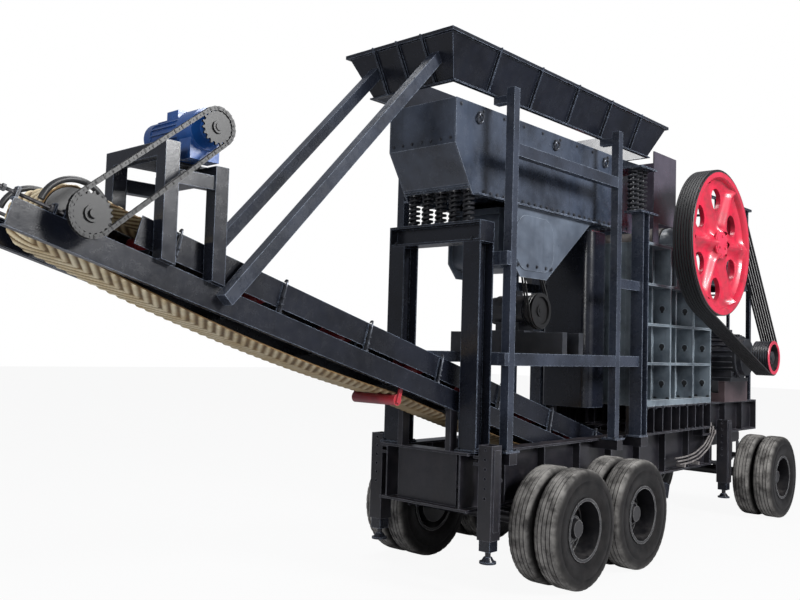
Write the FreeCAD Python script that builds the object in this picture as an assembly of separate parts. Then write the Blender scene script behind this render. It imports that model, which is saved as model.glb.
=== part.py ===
"""A wheeled jaw crushing plant: a chassis on tandem rear wheels and a steered front bogie carries a
feed hopper over a vibrating feeder, a ribbed jaw crusher with two flywheels, its motor, and an inclined
belt conveyor that leaves over the rear end. Millimetres, +Z up, +X towards the steered front end."""
import FreeCAD, Part
import math
import os
from FreeCAD import Vector as V

# Wheels and axles
TYRE_RADIUS = 570.0
TYRE_WIDTH = 250.0
RIM_RADIUS = 286.0
RIM_FLANGE_RADIUS = 300.0
RIM_HALF_WIDTH = 109.0
DUAL_PITCH = 285.0
TRACK_OUTER = 2400.0
REAR_AXLE_X = 0.0
TANDEM_PITCH = 1190.0
FRONT_AXLE_X = 5500.0
AXLE_RADIUS = 65.0
SPINDLE_RADIUS = 45.0
RUNNING_GAP = 0.3
STEER_RING_RADIUS = 330.0
LEAVES = 5
LEAF_THICK = 13.0
LEAF_SEAT_Z = TYRE_RADIUS + AXLE_RADIUS + 12.0
HANGER_CAP = 8.0
BOGIE_LEAF_RISE = 60.0

# Chassis
BEAM_BOTTOM = 760.0
BEAM_TOP = 1300.0
BEAM_WIDTH = 180.0
LUG_REACH = 680.0
BEAM_CENTRE_Y = 455.0
CHASSIS_REAR_X = -1035.0
CHASSIS_FRONT_X = 4500.0
LEAF_RISE = BEAM_BOTTOM - HANGER_CAP - RUNNING_GAP - LEAF_SEAT_Z - LEAVES * LEAF_THICK
NECK_REAR_X = 4100.0
NECK_FRONT_X = 6060.0
NECK_BOTTOM = 1180.0
NECK_TOP = 1620.0
NECK_CENTRE_Y = 510.0
FLANGE = 22.0
WEB = 14.0
OUTRIGGER_DEPTH = 110.0
CROSS_TIES = (2600.0, 3900.0)

# Support legs
LEG_REAR_X = -870.0
LEG_FRONT_X = 4630.0
LEG_Y = 680.0
SLEEVE_SIZE = 150.0
SLEEVE_WALL = 14.0
SLEEVE_BOTTOM = 520.0
SLEEVE_TOP = 1380.0
LEG_TUBE = SLEEVE_SIZE - 2 * SLEEVE_WALL - 2 * RUNNING_GAP
LEG_TUBE_BOTTOM = 420.0
LEG_SCREW_RADIUS = 26.0
FOOT_RADIUS = 78.0
FOOT_Z = 310.0

# Feeder stand, hopper posts and rails
PORTAL_X = -960.0
PORTAL_DEPTH = 220.0
PORTAL_WIDTH = 1150.0
FEEDER_BOTTOM = 3730.0
PORTAL_TOP = FEEDER_BOTTOM - 260.0
PORTAL_FLANGE = 200.0
POST_SIZE = 90.0
POST_Y = 690.0
POST_REAR_X = -636.0
POST_FRONT_X = 1431.0
RAIL_LOW_Z = 2110.0
RAIL_HIGH_Z = FEEDER_BOTTOM + 390.0
RAIL_HEIGHT = 120.0
COLUMN_X = 2025.0
COLUMN_SIZE = 150.0
COLUMN_TOP = FEEDER_BOTTOM + 200.0

# Hopper
FEEDER_DEPTH = 880.0
FEEDER_TOP = FEEDER_BOTTOM + FEEDER_DEPTH
HOPPER_CLEARANCE = 90.0
HOPPER_DEPTH = 410.0
HOPPER_LOW_Z = FEEDER_TOP + HOPPER_CLEARANCE
HOPPER_RIM_Z = HOPPER_LOW_Z + HOPPER_DEPTH
HOPPER_RIM = (-1550.0, 2760.0, 660.0)
HOPPER_LOW = (-1320.0, 2530.0, 500.0)
HOPPER_WALL = 12.0

# Vibrating feeder
FEEDER_HALF_WIDTH = 420.0
FEEDER_REAR_X = -1170.0
FEEDER_HEEL_X = -887.0
FEEDER_FRONT_X = 2350.0
FEEDER_FOLD_RISE = 450.0
FEEDER_FOLD = FEEDER_BOTTOM + FEEDER_FOLD_RISE
FEEDER_WALL = 14.0
SPRING_RADIUS = 52.0
SPRING_HEIGHT = 510.0
EXCITER_X = 190.0
EXCITER_Z = FEEDER_BOTTOM - 350.0
FEEDER_MOTOR_X = 470.0
FEEDER_MOTOR_Z = 2690.0
FEEDER_PULLEY_RADIUS = 190.0
EXCITER_PULLEY_RADIUS = 110.0

# Jaw crusher
CRUSHER_REAR_X = 2120.0
CRUSHER_FRONT_X = 4060.0
CRUSHER_BASE_Z = 1640.0
CRUSHER_PLATE_Y = 460.0
CRUSHER_RIB_Y = 720.0
RIB_ROWS = (1680.0, 2130.0, 2600.0, 3080.0, 3570.0)
RIB_COLUMNS = (2135.0, 2810.0, 3480.0, 4040.0)
RIB = 30.0
TOGGLE_SEAT_X = 3740.0
SHAFT_X = 3230.0
SHAFT_Z = 3660.0
FLYWHEEL_RADIUS = 900.0
FLYWHEEL_WIDTH = 250.0
FLYWHEEL_OUTER_Y = 1195.0
MOTOR_GAP = 1040.0
MOTOR_X = CRUSHER_FRONT_X + MOTOR_GAP
MOTOR_Z = 2260.0
MOTOR_PULLEY_RADIUS = 230.0
BELT_THICK = 24.0
DECK_REAR_X = 4300.0
DECK_FRONT_X = 5950.0
DECK_HALF_WIDTH = 560.0
DECK_Z = 3350.0
CABINET = (4700.0, 5500.0, 120.0, 470.0)

# Belt conveyor, in its own frame: u runs down the belt from the head pulley, w is square to it
HEAD_X = -4780.0
HEAD_Z = 3010.0
SLOPE = 16.0
CONVEYOR_LENGTH = 8500.0
HEAD_RADIUS = 190.0
TAIL_RADIUS = 160.0
PULLEY_SHAFT_RADIUS = 30.0
CHANNEL_TOP = -50.0
CHANNEL_DEPTH = 180.0
CHANNEL_FLANGE = 60.0
CHANNEL_OUTER_Y = 330.0
CHANNEL_WALL = 10.0
CONVEYOR_BELT_WIDTH = 490.0
CONVEYOR_BELT_THICK = 12.0
CARRY_W = 110.0
RETURN_W = -262.0
IDLER_RADIUS = 44.0
TROUGH_START = 1500.0
TROUGH_ANGLE = 20.0
BELT_FLAT = 88.0
RETURN_IDLERS = (3300.0, 5900.0)
CHAIN_Y = -500.0
HEAD_SPROCKET_RADIUS = 135.0
MOTOR_SPROCKET_RADIUS = 122.0
TOOTH_TIP = 4.0
UPPER_X = -3890.0
UPPER_Z = 3730.0
DRIVE_POST = 110.0
DRIVE_POST_REAR_X = -4160.0
DRIVE_POST_FRONT_X = -3750.0
DRIVE_POST_REAR_TOP = 3600.0
DRIVE_POST_FRONT_TOP = 3490.0
STRUT_FOOT_X = -3685.0
STRUT_FOOT_Z = 2550.0
STRUT_HEAD_RISE = 210.0
STRUT_SIZE = 100.0

CHANNEL_OVERHANG = 400.0


def box(x0, x1, y0, y1, z0, z1):
    """A block between two corners."""
    return Part.makeBox(x1 - x0, y1 - y0, z1 - z0, V(x0, y0, z0))


def rod_y(x, z, radius, y0, y1):
    """A cylinder along Y."""
    return Part.makeCylinder(radius, y1 - y0, V(x, y0, z), V(0, 1, 0))


def tube_y(x, z, outer, inner, y0, y1):
    """A ring along Y."""
    return rod_y(x, z, outer, y0, y1).cut(rod_y(x, z, inner, y0 - 1, y1 + 1))


def rod_z(x, y, radius, z0, z1):
    """A cylinder along Z."""
    return Part.makeCylinder(radius, z1 - z0, V(x, y, z0), V(0, 0, 1))


def prism_y(points, y0, y1):
    """An outline of (x, z) points carried from y0 to y1."""
    wire = Part.makePolygon([V(x, y0, z) for x, z in points + points[:1]])
    return Part.Face(wire).extrude(V(0, y1 - y0, 0))


def prism_x(points, x0, x1):
    """An outline of (y, z) points carried from x0 to x1."""
    wire = Part.makePolygon([V(x0, y, z) for y, z in points + points[:1]])
    return Part.Face(wire).extrude(V(x1 - x0, 0, 0))


def join(shapes):
    """One solid from pieces that touch or overlap."""
    shapes = list(shapes)
    if len(shapes) == 1:
        return shapes[0]
    return shapes[0].multiFuse(shapes[1:]).removeSplitter()


def both_sides(shape):
    """A shape and its mirror image across the middle plane."""
    return [shape, shape.mirror(V(0, 0, 0), V(0, 1, 0))]


def beam_x(x0, x1, y, z0, z1, width):
    """An I beam along X: two flanges and a web."""
    h = width / 2
    return [box(x0, x1, y - h, y + h, z0, z0 + FLANGE),
            box(x0, x1, y - h, y + h, z1 - FLANGE, z1),
            box(x0, x1, y - WEB / 2, y + WEB / 2, z0, z1)]


def beam_y(x, y0, y1, z0, z1, width):
    """An I beam along Y: two flanges and a web."""
    h = width / 2
    return [box(x - h, x + h, y0, y1, z0, z0 + FLANGE),
            box(x - h, x + h, y0, y1, z1 - FLANGE, z1),
            box(x - WEB / 2, x + WEB / 2, y0, y1, z0, z1)]


def post_h(x, y, z0, z1, depth, width):
    """An H post: its flanges face along X."""
    d, w = depth / 2, width / 2
    return [box(x - d, x - d + WEB, y - w, y + w, z0, z1),
            box(x + d - WEB, x + d, y - w, y + w, z0, z1),
            box(x - d, x + d, y - WEB / 2, y + WEB / 2, z0, z1)]


def square_tube(x, y, size, wall, z0, z1):
    """A square tube along Z."""
    h = size / 2
    return box(x - h, x + h, y - h, y + h, z0, z1).cut(
        box(x - h + wall, x + h - wall, y - h + wall, y + h - wall, z0 - 1, z1 + 1))


def on_conveyor(shape):
    """Carries a shape from the conveyor's own frame to its place on the machine."""
    placed = shape.copy()
    placed.rotate(V(0, 0, 0), V(0, 1, 0), SLOPE)
    placed.translate(V(HEAD_X, 0, HEAD_Z))
    return placed


def conveyor_point(u, w):
    """The (x, z) place of a point of the conveyor's own frame."""
    a = math.radians(SLOPE)
    return (HEAD_X + u * math.cos(a) + w * math.sin(a), HEAD_Z - u * math.sin(a) + w * math.cos(a))


def belt_loop(x1, z1, r1, x2, z2, r2, thick, y0, y1):
    """A taut belt or chain round two wheels: its outer outline less its inner one."""
    def outline(extra):
        a, b = r1 + extra, r2 + extra
        dx, dz = x2 - x1, z2 - z1
        length = math.hypot(dx, dz)
        base = math.atan2(dz, dx)
        lean = math.acos((a - b) / length)
        p = [(x1 + a * math.cos(base + s * lean), z1 + a * math.sin(base + s * lean)) for s in (1, -1)]
        q = [(x2 + b * math.cos(base + s * lean), z2 + b * math.sin(base + s * lean)) for s in (1, -1)]
        back = (x1 - a * math.cos(base), z1 - a * math.sin(base))
        front = (x2 + b * math.cos(base), z2 + b * math.sin(base))
        v = lambda c: V(c[0], y0, c[1])
        edges = [Part.LineSegment(v(p[0]), v(q[0])).toShape(), Part.Arc(v(q[0]), v(front), v(q[1])).toShape(),
                 Part.LineSegment(v(q[1]), v(p[1])).toShape(), Part.Arc(v(p[1]), v(back), v(p[0])).toShape()]
        return Part.Face(Part.Wire(edges)).extrude(V(0, y1 - y0, 0))
    return outline(thick).cut(outline(0.0))


def ring_profile(points, x, y, z):
    """Turns an outline of (offset along Y, radius) points about the Y axis through (x, z)."""
    wire = Part.makePolygon([V(x, y + a, z + r) for a, r in points + points[:1]])
    return Part.Face(wire).revolve(V(x, y, z), V(0, 1, 0), 360)


# Running gear

WHEEL_SETS = (("rear", REAR_AXLE_X, 0.0), ("middle", REAR_AXLE_X + TANDEM_PITCH, 0.0),
              ("front", FRONT_AXLE_X, 0.0))
OUTER_TYRE_Y = TRACK_OUTER / 2 - TYRE_WIDTH / 2
INNER_TYRE_Y = OUTER_TYRE_Y - DUAL_PITCH
DISC_Y = (OUTER_TYRE_Y + INNER_TYRE_Y) / 2


def tyre(x, y):
    """A closed tyre: flat tread, round shoulders and bulged side walls down to the rim."""
    w, r = TYRE_WIDTH / 2, TYRE_RADIUS
    bead = RIM_HALF_WIDTH - 11.0
    low = RIM_RADIUS + RUNNING_GAP
    half = [(bead, low), (bead + 2, low + 26), (w - 4, low + 90), (w, low + 150), (w - 5, r - 60),
            (w - 16, r - 18), (w - 38, r - 3), (w - 60, r)]
    outline = [(-a, b) for a, b in half] + [(a, b) for a, b in reversed(half)]
    return ring_profile(outline, x, y, TYRE_RADIUS)


def rim_set(x, side):
    """Two rims back to back on one hub: barrels, flanges, a disc with hand holes, studs and hub cap."""
    z = TYRE_RADIUS
    pieces = []
    for y in (OUTER_TYRE_Y, INNER_TYRE_Y):
        barrel = tube_y(x, z, RIM_RADIUS, RIM_RADIUS - 14, y - RIM_HALF_WIDTH, y + RIM_HALF_WIDTH)
        flanges = [tube_y(x, z, RIM_FLANGE_RADIUS, RIM_RADIUS - 14, y + s * RIM_HALF_WIDTH - 4 - s * 4,
                          y + s * RIM_HALF_WIDTH + 4 - s * 4) for s in (-1, 1)]
        pieces += [barrel] + flanges
    gap = tube_y(x, z, RIM_RADIUS - 10, 60.0, DISC_Y - 12, DISC_Y + 12)
    holes = [rod_y(x + 200 * math.cos(math.radians(a)), z + 200 * math.sin(math.radians(a)), 34,
                   DISC_Y - 40, DISC_Y + 40) for a in range(0, 360, 45)]
    step = tube_y(x, z, RIM_RADIUS - 8, RIM_RADIUS - 24, INNER_TYRE_Y + RIM_HALF_WIDTH - 12,
                  OUTER_TYRE_Y - RIM_HALF_WIDTH + 12)
    disc = gap.cut(Part.makeCompound(holes))
    hub = rod_y(x, z, 118, INNER_TYRE_Y - 60, DISC_Y + 130)
    drum = rod_y(x, z, 205, INNER_TYRE_Y - 118, DISC_Y - 60)
    cap = Part.makeCone(100, 82, 46, V(x, DISC_Y + 130, z), V(0, 1, 0))
    studs = [rod_y(x + 150 * math.cos(math.radians(a)), z + 150 * math.sin(math.radians(a)), 15,
                   DISC_Y + 10, DISC_Y + 48) for a in range(18, 378, 36)]
    body = join(pieces + [disc, step, hub, drum, cap] + studs)
    bore = rod_y(x, z, SPINDLE_RADIUS + RUNNING_GAP, INNER_TYRE_Y - 150, DISC_Y + 60)
    body = body.cut(bore)
    return body if side > 0 else body.mirror(V(0, 0, 0), V(0, 1, 0))


def axle(x):
    """An axle tube with a spindle at each end."""
    shoulder = INNER_TYRE_Y - 118 - 6
    return join([rod_y(x, TYRE_RADIUS, AXLE_RADIUS, -shoulder, shoulder),
                 rod_y(x, TYRE_RADIUS, SPINDLE_RADIUS, -DISC_Y - 50, DISC_Y + 50)])


def leaf_pack(x, y, base_z, width=80.0, leaves=LEAVES, span=1040.0, rise=LEAF_RISE):
    """A pack of bowed leaves, each shorter than the one above it, as one solid."""
    thick = LEAF_THICK
    pieces = []
    for i in range(leaves):
        half = span / 2 * (1 - 0.15 * (leaves - 1 - i))
        drop = rise * (half / (span / 2)) ** 2
        z = base_z + i * thick
        a, b, c = V(x - half, y, z + drop), V(x, y, z), V(x + half, y, z + drop)
        up = V(0, 0, thick)
        edges = [Part.Arc(a, b, c).toShape(), Part.LineSegment(c, c + up).toShape(),
                 Part.Arc(c + up, b + up, a + up).toShape(), Part.LineSegment(a + up, a).toShape()]
        leaf = Part.Face(Part.Wire(edges)).extrude(V(0, width, 0))
        leaf.translate(V(0, -width / 2, 0))
        pieces.append(leaf)
    return join(pieces)


def spring_seat(x, y, width=96.0):
    """The seat, U bolts' plate and saddle that fix a leaf pack on an axle tube."""
    z = TYRE_RADIUS
    saddle = box(x - 62, x + 62, y - width / 2, y + width / 2, z - 30, z + AXLE_RADIUS + 12)
    return saddle.cut(rod_y(x, z, AXLE_RADIUS, y - width, y + width))


def running_gear():
    """Rear axles with their springs and hangers."""
    axles, springs, hangers = [], [], []
    for x in (REAR_AXLE_X, REAR_AXLE_X + TANDEM_PITCH):
        axles.append(join([axle(x)] + both_sides(spring_seat(x, BEAM_CENTRE_Y))))
        springs += both_sides(leaf_pack(x, BEAM_CENTRE_Y, LEAF_SEAT_Z))
    for x in (REAR_AXLE_X - 560, REAR_AXLE_X + TANDEM_PITCH / 2, REAR_AXLE_X + TANDEM_PITCH + 560):
        cheeks = [box(x - 70, x + 70, BEAM_CENTRE_Y + s * 52 - 8, BEAM_CENTRE_Y + s * 52 + 8, 640, BEAM_BOTTOM)
                  for s in (-1, 1)]
        cap = box(x - 70, x + 70, BEAM_CENTRE_Y - 60, BEAM_CENTRE_Y + 60, BEAM_BOTTOM - HANGER_CAP, BEAM_BOTTOM)
        pin = rod_y(x, 662, 16, BEAM_CENTRE_Y - 66, BEAM_CENTRE_Y + 66)
        hangers += both_sides(join(cheeks + [cap, pin]))
    return axles, springs, hangers


# Chassis

def chassis_frame():
    """Two side rails, each an I beam with its raised neck, and the members that tie them together."""
    rails = []
    for s in (-1, 1):
        y, n = s * BEAM_CENTRE_Y, s * NECK_CENTRE_Y
        rail = beam_x(CHASSIS_REAR_X, CHASSIS_FRONT_X, y, BEAM_BOTTOM, BEAM_TOP, BEAM_WIDTH)
        rail += beam_x(NECK_REAR_X, NECK_FRONT_X, n, NECK_BOTTOM, NECK_TOP, BEAM_WIDTH)
        for x in range(int(CHASSIS_REAR_X) + 600, int(CHASSIS_FRONT_X), 700):
            rail.append(box(x - 7, x + 7, y - BEAM_WIDTH / 2, y + BEAM_WIDTH / 2, BEAM_BOTTOM, BEAM_TOP))
        for x in (NECK_REAR_X + 8, 4860.0, FRONT_AXLE_X, NECK_FRONT_X - 8):
            rail.append(box(x - 8, x + 8, n - BEAM_WIDTH / 2, n + BEAM_WIDTH / 2, NECK_BOTTOM, NECK_TOP))
        for x, half in ((POST_REAR_X, 60.0), (POST_FRONT_X, 60.0), (COLUMN_X, 85.0)):
            y0, y1 = sorted((s * (BEAM_CENTRE_Y + 5), s * (POST_Y + 85)))
            rail.append(box(x - half, x + half, y0, y1, BEAM_TOP - OUTRIGGER_DEPTH, BEAM_TOP))
        y0, y1 = sorted((s * (CHANNEL_OUTER_Y + RUNNING_GAP), s * BEAM_CENTRE_Y))
        rail.append(box(CROSS_TIES[0] - 40, CROSS_TIES[0] + 40, y0, y1, BEAM_BOTTOM + FLANGE, BEAM_BOTTOM + FLANGE + 20))
        rails.append(join(rail))
    inner, web = BEAM_CENTRE_Y - BEAM_WIDTH / 2, BEAM_CENTRE_Y - WEB / 2
    neck = NECK_CENTRE_Y - BEAM_WIDTH / 2
    ties = [join(beam_y(CHASSIS_REAR_X + 80, -inner, inner, BEAM_BOTTOM, BEAM_TOP, 160)),
            join(beam_y(CHASSIS_FRONT_X - 90, -inner, inner, BEAM_BOTTOM, BEAM_TOP, 160)),
            join(beam_y(NECK_FRONT_X - 80, -neck, neck, NECK_BOTTOM, NECK_TOP, 160)),
            box(600, 700, -web, web, BEAM_BOTTOM + FLANGE, BEAM_BOTTOM + 120)]
    ties += [box(x - 50, x + 50, -web, web, BEAM_TOP - 120, BEAM_TOP - FLANGE) for x in CROSS_TIES]
    ties.append(box(FRONT_AXLE_X - 420, FRONT_AXLE_X + 380, -neck, neck, NECK_BOTTOM, NECK_BOTTOM + 24))
    ties.append(box(CHASSIS_FRONT_X + 60, NECK_FRONT_X - 160, -neck, neck, NECK_TOP - 12, NECK_TOP))
    x0, x1 = CHASSIS_REAR_X + 10, CHASSIS_REAR_X + 110
    drop = (CHANNEL_DEPTH + RUNNING_GAP) / math.cos(math.radians(SLOPE))
    seat = [(x0, BEAM_TOP), (x1, BEAM_TOP), (x1, seat_height(x1) - drop), (x0, seat_height(x0) - drop)]
    ties += both_sides(prism_y(seat, CHANNEL_OUTER_Y - CHANNEL_FLANGE, CHANNEL_OUTER_Y))
    return rails + ties


def crusher_base():
    """The deep ribbed bed beams under the crusher, one on each side."""
    x0, x1 = CRUSHER_REAR_X + 10, CRUSHER_FRONT_X
    y0, y1 = CRUSHER_PLATE_Y + 20, CRUSHER_RIB_Y
    parts = [box(x0, x1, y0, y1, BEAM_TOP, BEAM_TOP + FLANGE), box(x0, x1, y0, y1, CRUSHER_BASE_Z - 20, CRUSHER_BASE_Z),
             box(x0, x1, y0 + 90, y0 + 104, BEAM_TOP, CRUSHER_BASE_Z)]
    count = 9
    for i in range(count):
        x = x0 + 8 + (x1 - x0 - 16) * i / (count - 1)
        parts.append(box(x - 7, x + 7, y0, y1, BEAM_TOP, CRUSHER_BASE_Z))
    return both_sides(join(parts))


def support_legs():
    """Fixed sleeves with a row of pin holes, and the sliding legs with their screw feet."""
    sleeves, legs = [], {}
    for end, x, reach in (("rear", LEG_REAR_X, 545.0), ("front", LEG_FRONT_X, 600.0)):
        sleeve = square_tube(x, LEG_Y, SLEEVE_SIZE, SLEEVE_WALL, SLEEVE_BOTTOM, SLEEVE_TOP)
        holes = [Part.makeCylinder(13, 400, V(x - 200, LEG_Y, z), V(1, 0, 0))
                 for z in range(900, 1341, 88)]
        sleeve = sleeve.cut(Part.makeCompound(holes))
        brackets = [box(x - 75, x + 75, reach, LEG_Y - SLEEVE_SIZE / 2, z, z + 26) for z in (1190.0, 1252.0)]
        if LEG_Y - SLEEVE_SIZE / 2 - reach > 1:
            sleeve = join([sleeve] + brackets)
        sleeves += both_sides(sleeve)
        half = LEG_TUBE / 2
        tube = box(x - half, x + half, LEG_Y - half, LEG_Y + half, LEG_TUBE_BOTTOM, SLEEVE_TOP - 60)
        screw = rod_z(x, LEG_Y, LEG_SCREW_RADIUS, FOOT_Z + 30, LEG_TUBE_BOTTOM)
        cone = Part.makeCone(FOOT_RADIUS - 14, LEG_SCREW_RADIUS + 12, 40, V(x, LEG_Y, FOOT_Z + 18), V(0, 0, 1))
        foot = rod_z(x, LEG_Y, FOOT_RADIUS, FOOT_Z, FOOT_Z + 18)
        leg = join([tube, screw, cone, foot])
        legs[end + "_far"], legs[end + "_near"] = both_sides(leg)
    return sleeves, legs


def dolly():
    """The steered front bogie: turntable ring, frame, springs and axle, with lugs for a towing bar."""
    x, z = FRONT_AXLE_X, TYRE_RADIUS
    ring = Part.makeCylinder(STEER_RING_RADIUS, 60, V(x, 0, NECK_BOTTOM - 60 - RUNNING_GAP)).cut(
        Part.makeCylinder(STEER_RING_RADIUS - 70, 80, V(x, 0, NECK_BOTTOM - 70)))
    top = NECK_BOTTOM - 60 - RUNNING_GAP
    frame = []
    for s in (-1, 1):
        frame.append(box(x - 560, x + 560, s * 290 - 50, s * 290 + 50, top - 150, top))
    for bx in (x - 520, x, x + 520):
        frame.append(box(bx - 40, bx + 40, -290, 290, top - 150, top))
    lug_x, lug_z = x + LUG_REACH - 120, top - 75
    lugs = [box(lug_x, lug_x + 120, s * 250 - 14 + t, s * 250 + 14 + t, lug_z - 60, lug_z + 60)
            for s in (-1, 1) for t in (-40, 40)]
    pins = [rod_y(lug_x + 70, lug_z, 20, s * 250 - 80, s * 250 + 80) for s in (-1, 1)]
    frame_solid = join([ring] + frame + lugs).cut(Part.makeCompound(pins))
    hangers = []
    for hx in (x - 520, x + 520):
        cheeks = [box(hx - 45, hx + 45, 290 + t - 7, 290 + t + 7, 700, top - 150) for t in (-50, 50)]
        pin = rod_y(hx, 730, 14, 228, 352)
        cap_z = LEAF_SEAT_Z + BOGIE_LEAF_RISE + LEAVES * LEAF_THICK + RUNNING_GAP
        cap = box(hx - 45, hx + 45, 240, 340, cap_z, cap_z + 24)
        hangers += both_sides(join(cheeks + [pin, cap]))
    springs = both_sides(leaf_pack(x, 290.0, LEAF_SEAT_Z, width=76.0, rise=BOGIE_LEAF_RISE))
    axle_solid = join([axle(x)] + both_sides(spring_seat(x, 290.0)))
    return frame_solid, hangers, springs, axle_solid


# Feeder stand, posts and hopper

def feeder_portal():
    """The H post gantry at the rear end that carries the feeder's back springs on its cross beam."""
    half, x = PORTAL_WIDTH / 2, PORTAL_X + PORTAL_DEPTH / 2
    beam_z = PORTAL_TOP - PORTAL_FLANGE
    y = half - PORTAL_FLANGE / 2
    post = join(post_h(x, y, BEAM_TOP + 20, beam_z, PORTAL_DEPTH, PORTAL_FLANGE)
                + [box(x - 140, x + 140, y - 120, y + 120, BEAM_TOP, BEAM_TOP + 20)])
    ends = [box(x - PORTAL_DEPTH / 2, x + PORTAL_DEPTH / 2, s * (half - 7) - 7, s * (half - 7) + 7, beam_z, PORTAL_TOP)
            for s in (-1, 1)]
    return both_sides(post) + [join(beam_y(x, -half, half, beam_z, PORTAL_TOP, PORTAL_DEPTH) + ends)]


def hopper_posts():
    """Square posts on foot plates with the side rails, ties and arms between them that carry the hopper."""
    h, foot = POST_SIZE / 2, BEAM_TOP + 16
    bars = []
    for x in (POST_REAR_X, POST_FRONT_X):
        bars.append(box(x - 110, x + 110, POST_Y - 85, POST_Y + 85, BEAM_TOP, foot))
        bars.append(box(x - h, x + h, POST_Y - h, POST_Y + h, foot, HOPPER_LOW_Z + 70))
        bars.append(box(x - h, x + h, HOPPER_LOW[2] - 10, POST_Y - h, HOPPER_LOW_Z - 70, HOPPER_LOW_Z))
    rear, front = PORTAL_X + PORTAL_DEPTH, COLUMN_X - COLUMN_SIZE / 2
    between = ((POST_REAR_X + h, POST_FRONT_X - h, RAIL_HIGH_Z, RAIL_HEIGHT), (POST_REAR_X + h, POST_FRONT_X - h, RAIL_LOW_Z, RAIL_HEIGHT),
               (POST_FRONT_X + h, front, RAIL_LOW_Z, RAIL_HEIGHT), (POST_FRONT_X + h, front, 2990.0, 110.0),
               (rear, POST_REAR_X - h, RAIL_LOW_Z, RAIL_HEIGHT), (rear, POST_REAR_X - h, 3060.0, 130.0))
    for x0, x1, z, height in between:
        bars.append(box(x0, x1, POST_Y - 40, POST_Y + 40, z, z + height))
    for z, height in ((RAIL_LOW_Z, RAIL_HEIGHT), (3060.0, 130.0)):
        bars.append(box(rear, rear + 46, PORTAL_WIDTH / 2 - 60, POST_Y - 40, z, z + height))
    return [piece for bar in bars for piece in both_sides(bar)]


def spring_columns():
    """The H columns beside the crusher's mouth that carry the feeder's front springs."""
    parts = post_h(COLUMN_X, POST_Y, BEAM_TOP, COLUMN_TOP - 20, COLUMN_SIZE, COLUMN_SIZE)
    parts.append(box(COLUMN_X - 130, COLUMN_X + 80, POST_Y - 85, POST_Y + 85, BEAM_TOP, BEAM_TOP + 16))
    parts.append(box(COLUMN_X - 200, COLUMN_X + 230, POST_Y - 110, POST_Y + 110, COLUMN_TOP - 20, COLUMN_TOP))
    return both_sides(join(parts))


def frustum(rim, low, z_rim, z_low):
    """A four-sided funnel block between a rim rectangle and a low rectangle."""
    def wire(size, z):
        x0, x1, y = size
        pts = [V(x0, -y, z), V(x1, -y, z), V(x1, y, z), V(x0, y, z), V(x0, -y, z)]
        return Part.makePolygon(pts)
    return Part.makeLoft([wire(low, z_low), wire(rim, z_rim)], True, True)


def feed_hopper():
    """A flared hopper, open at top and bottom, with a rim bar, a low flange and outside stiffeners."""
    wall = HOPPER_WALL
    grow = lambda size, by: (size[0] - by, size[1] + by, size[2] + by)
    shell = frustum(HOPPER_RIM, HOPPER_LOW, HOPPER_RIM_Z, HOPPER_LOW_Z)
    inner = frustum(grow(HOPPER_RIM, -wall), grow(HOPPER_LOW, -wall), HOPPER_RIM_Z, HOPPER_LOW_Z)
    extra = frustum(grow(HOPPER_RIM, 34), grow(HOPPER_LOW, 34), HOPPER_RIM_Z, HOPPER_LOW_Z)
    ribs = []
    x0, x1, y = HOPPER_RIM
    for i in range(1, 6):
        x = x0 + (x1 - x0) * i / 6
        ribs.append(box(x - 8, x + 8, -y - 100, y + 100, HOPPER_LOW_Z, HOPPER_RIM_Z))
    for ry in (-300.0, 0.0, 300.0):
        ribs.append(box(x0 - 100, x1 + 100, ry - 8, ry + 8, HOPPER_LOW_Z, HOPPER_RIM_Z))
    ribs = Part.makeCompound(ribs)
    stiffeners = extra.cut(shell).common(ribs)
    bar = grow(HOPPER_RIM, 16)
    rim = box(bar[0], bar[1], -bar[2], bar[2], HOPPER_RIM_Z - 34, HOPPER_RIM_Z).cut(
        frustum(grow(HOPPER_RIM, -wall / 2), grow(HOPPER_LOW, -wall / 2), HOPPER_RIM_Z, HOPPER_LOW_Z))
    low = grow(HOPPER_LOW, 34)
    flange = box(low[0], low[1], -low[2], low[2], HOPPER_LOW_Z, HOPPER_LOW_Z + 14).cut(
        frustum(grow(HOPPER_RIM, -wall / 2), grow(HOPPER_LOW, -wall / 2), HOPPER_RIM_Z, HOPPER_LOW_Z))
    body = join([shell.cut(inner), rim, flange] + stiffeners.Solids)
    return body.cut(inner)


# Vibrating feeder

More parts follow.
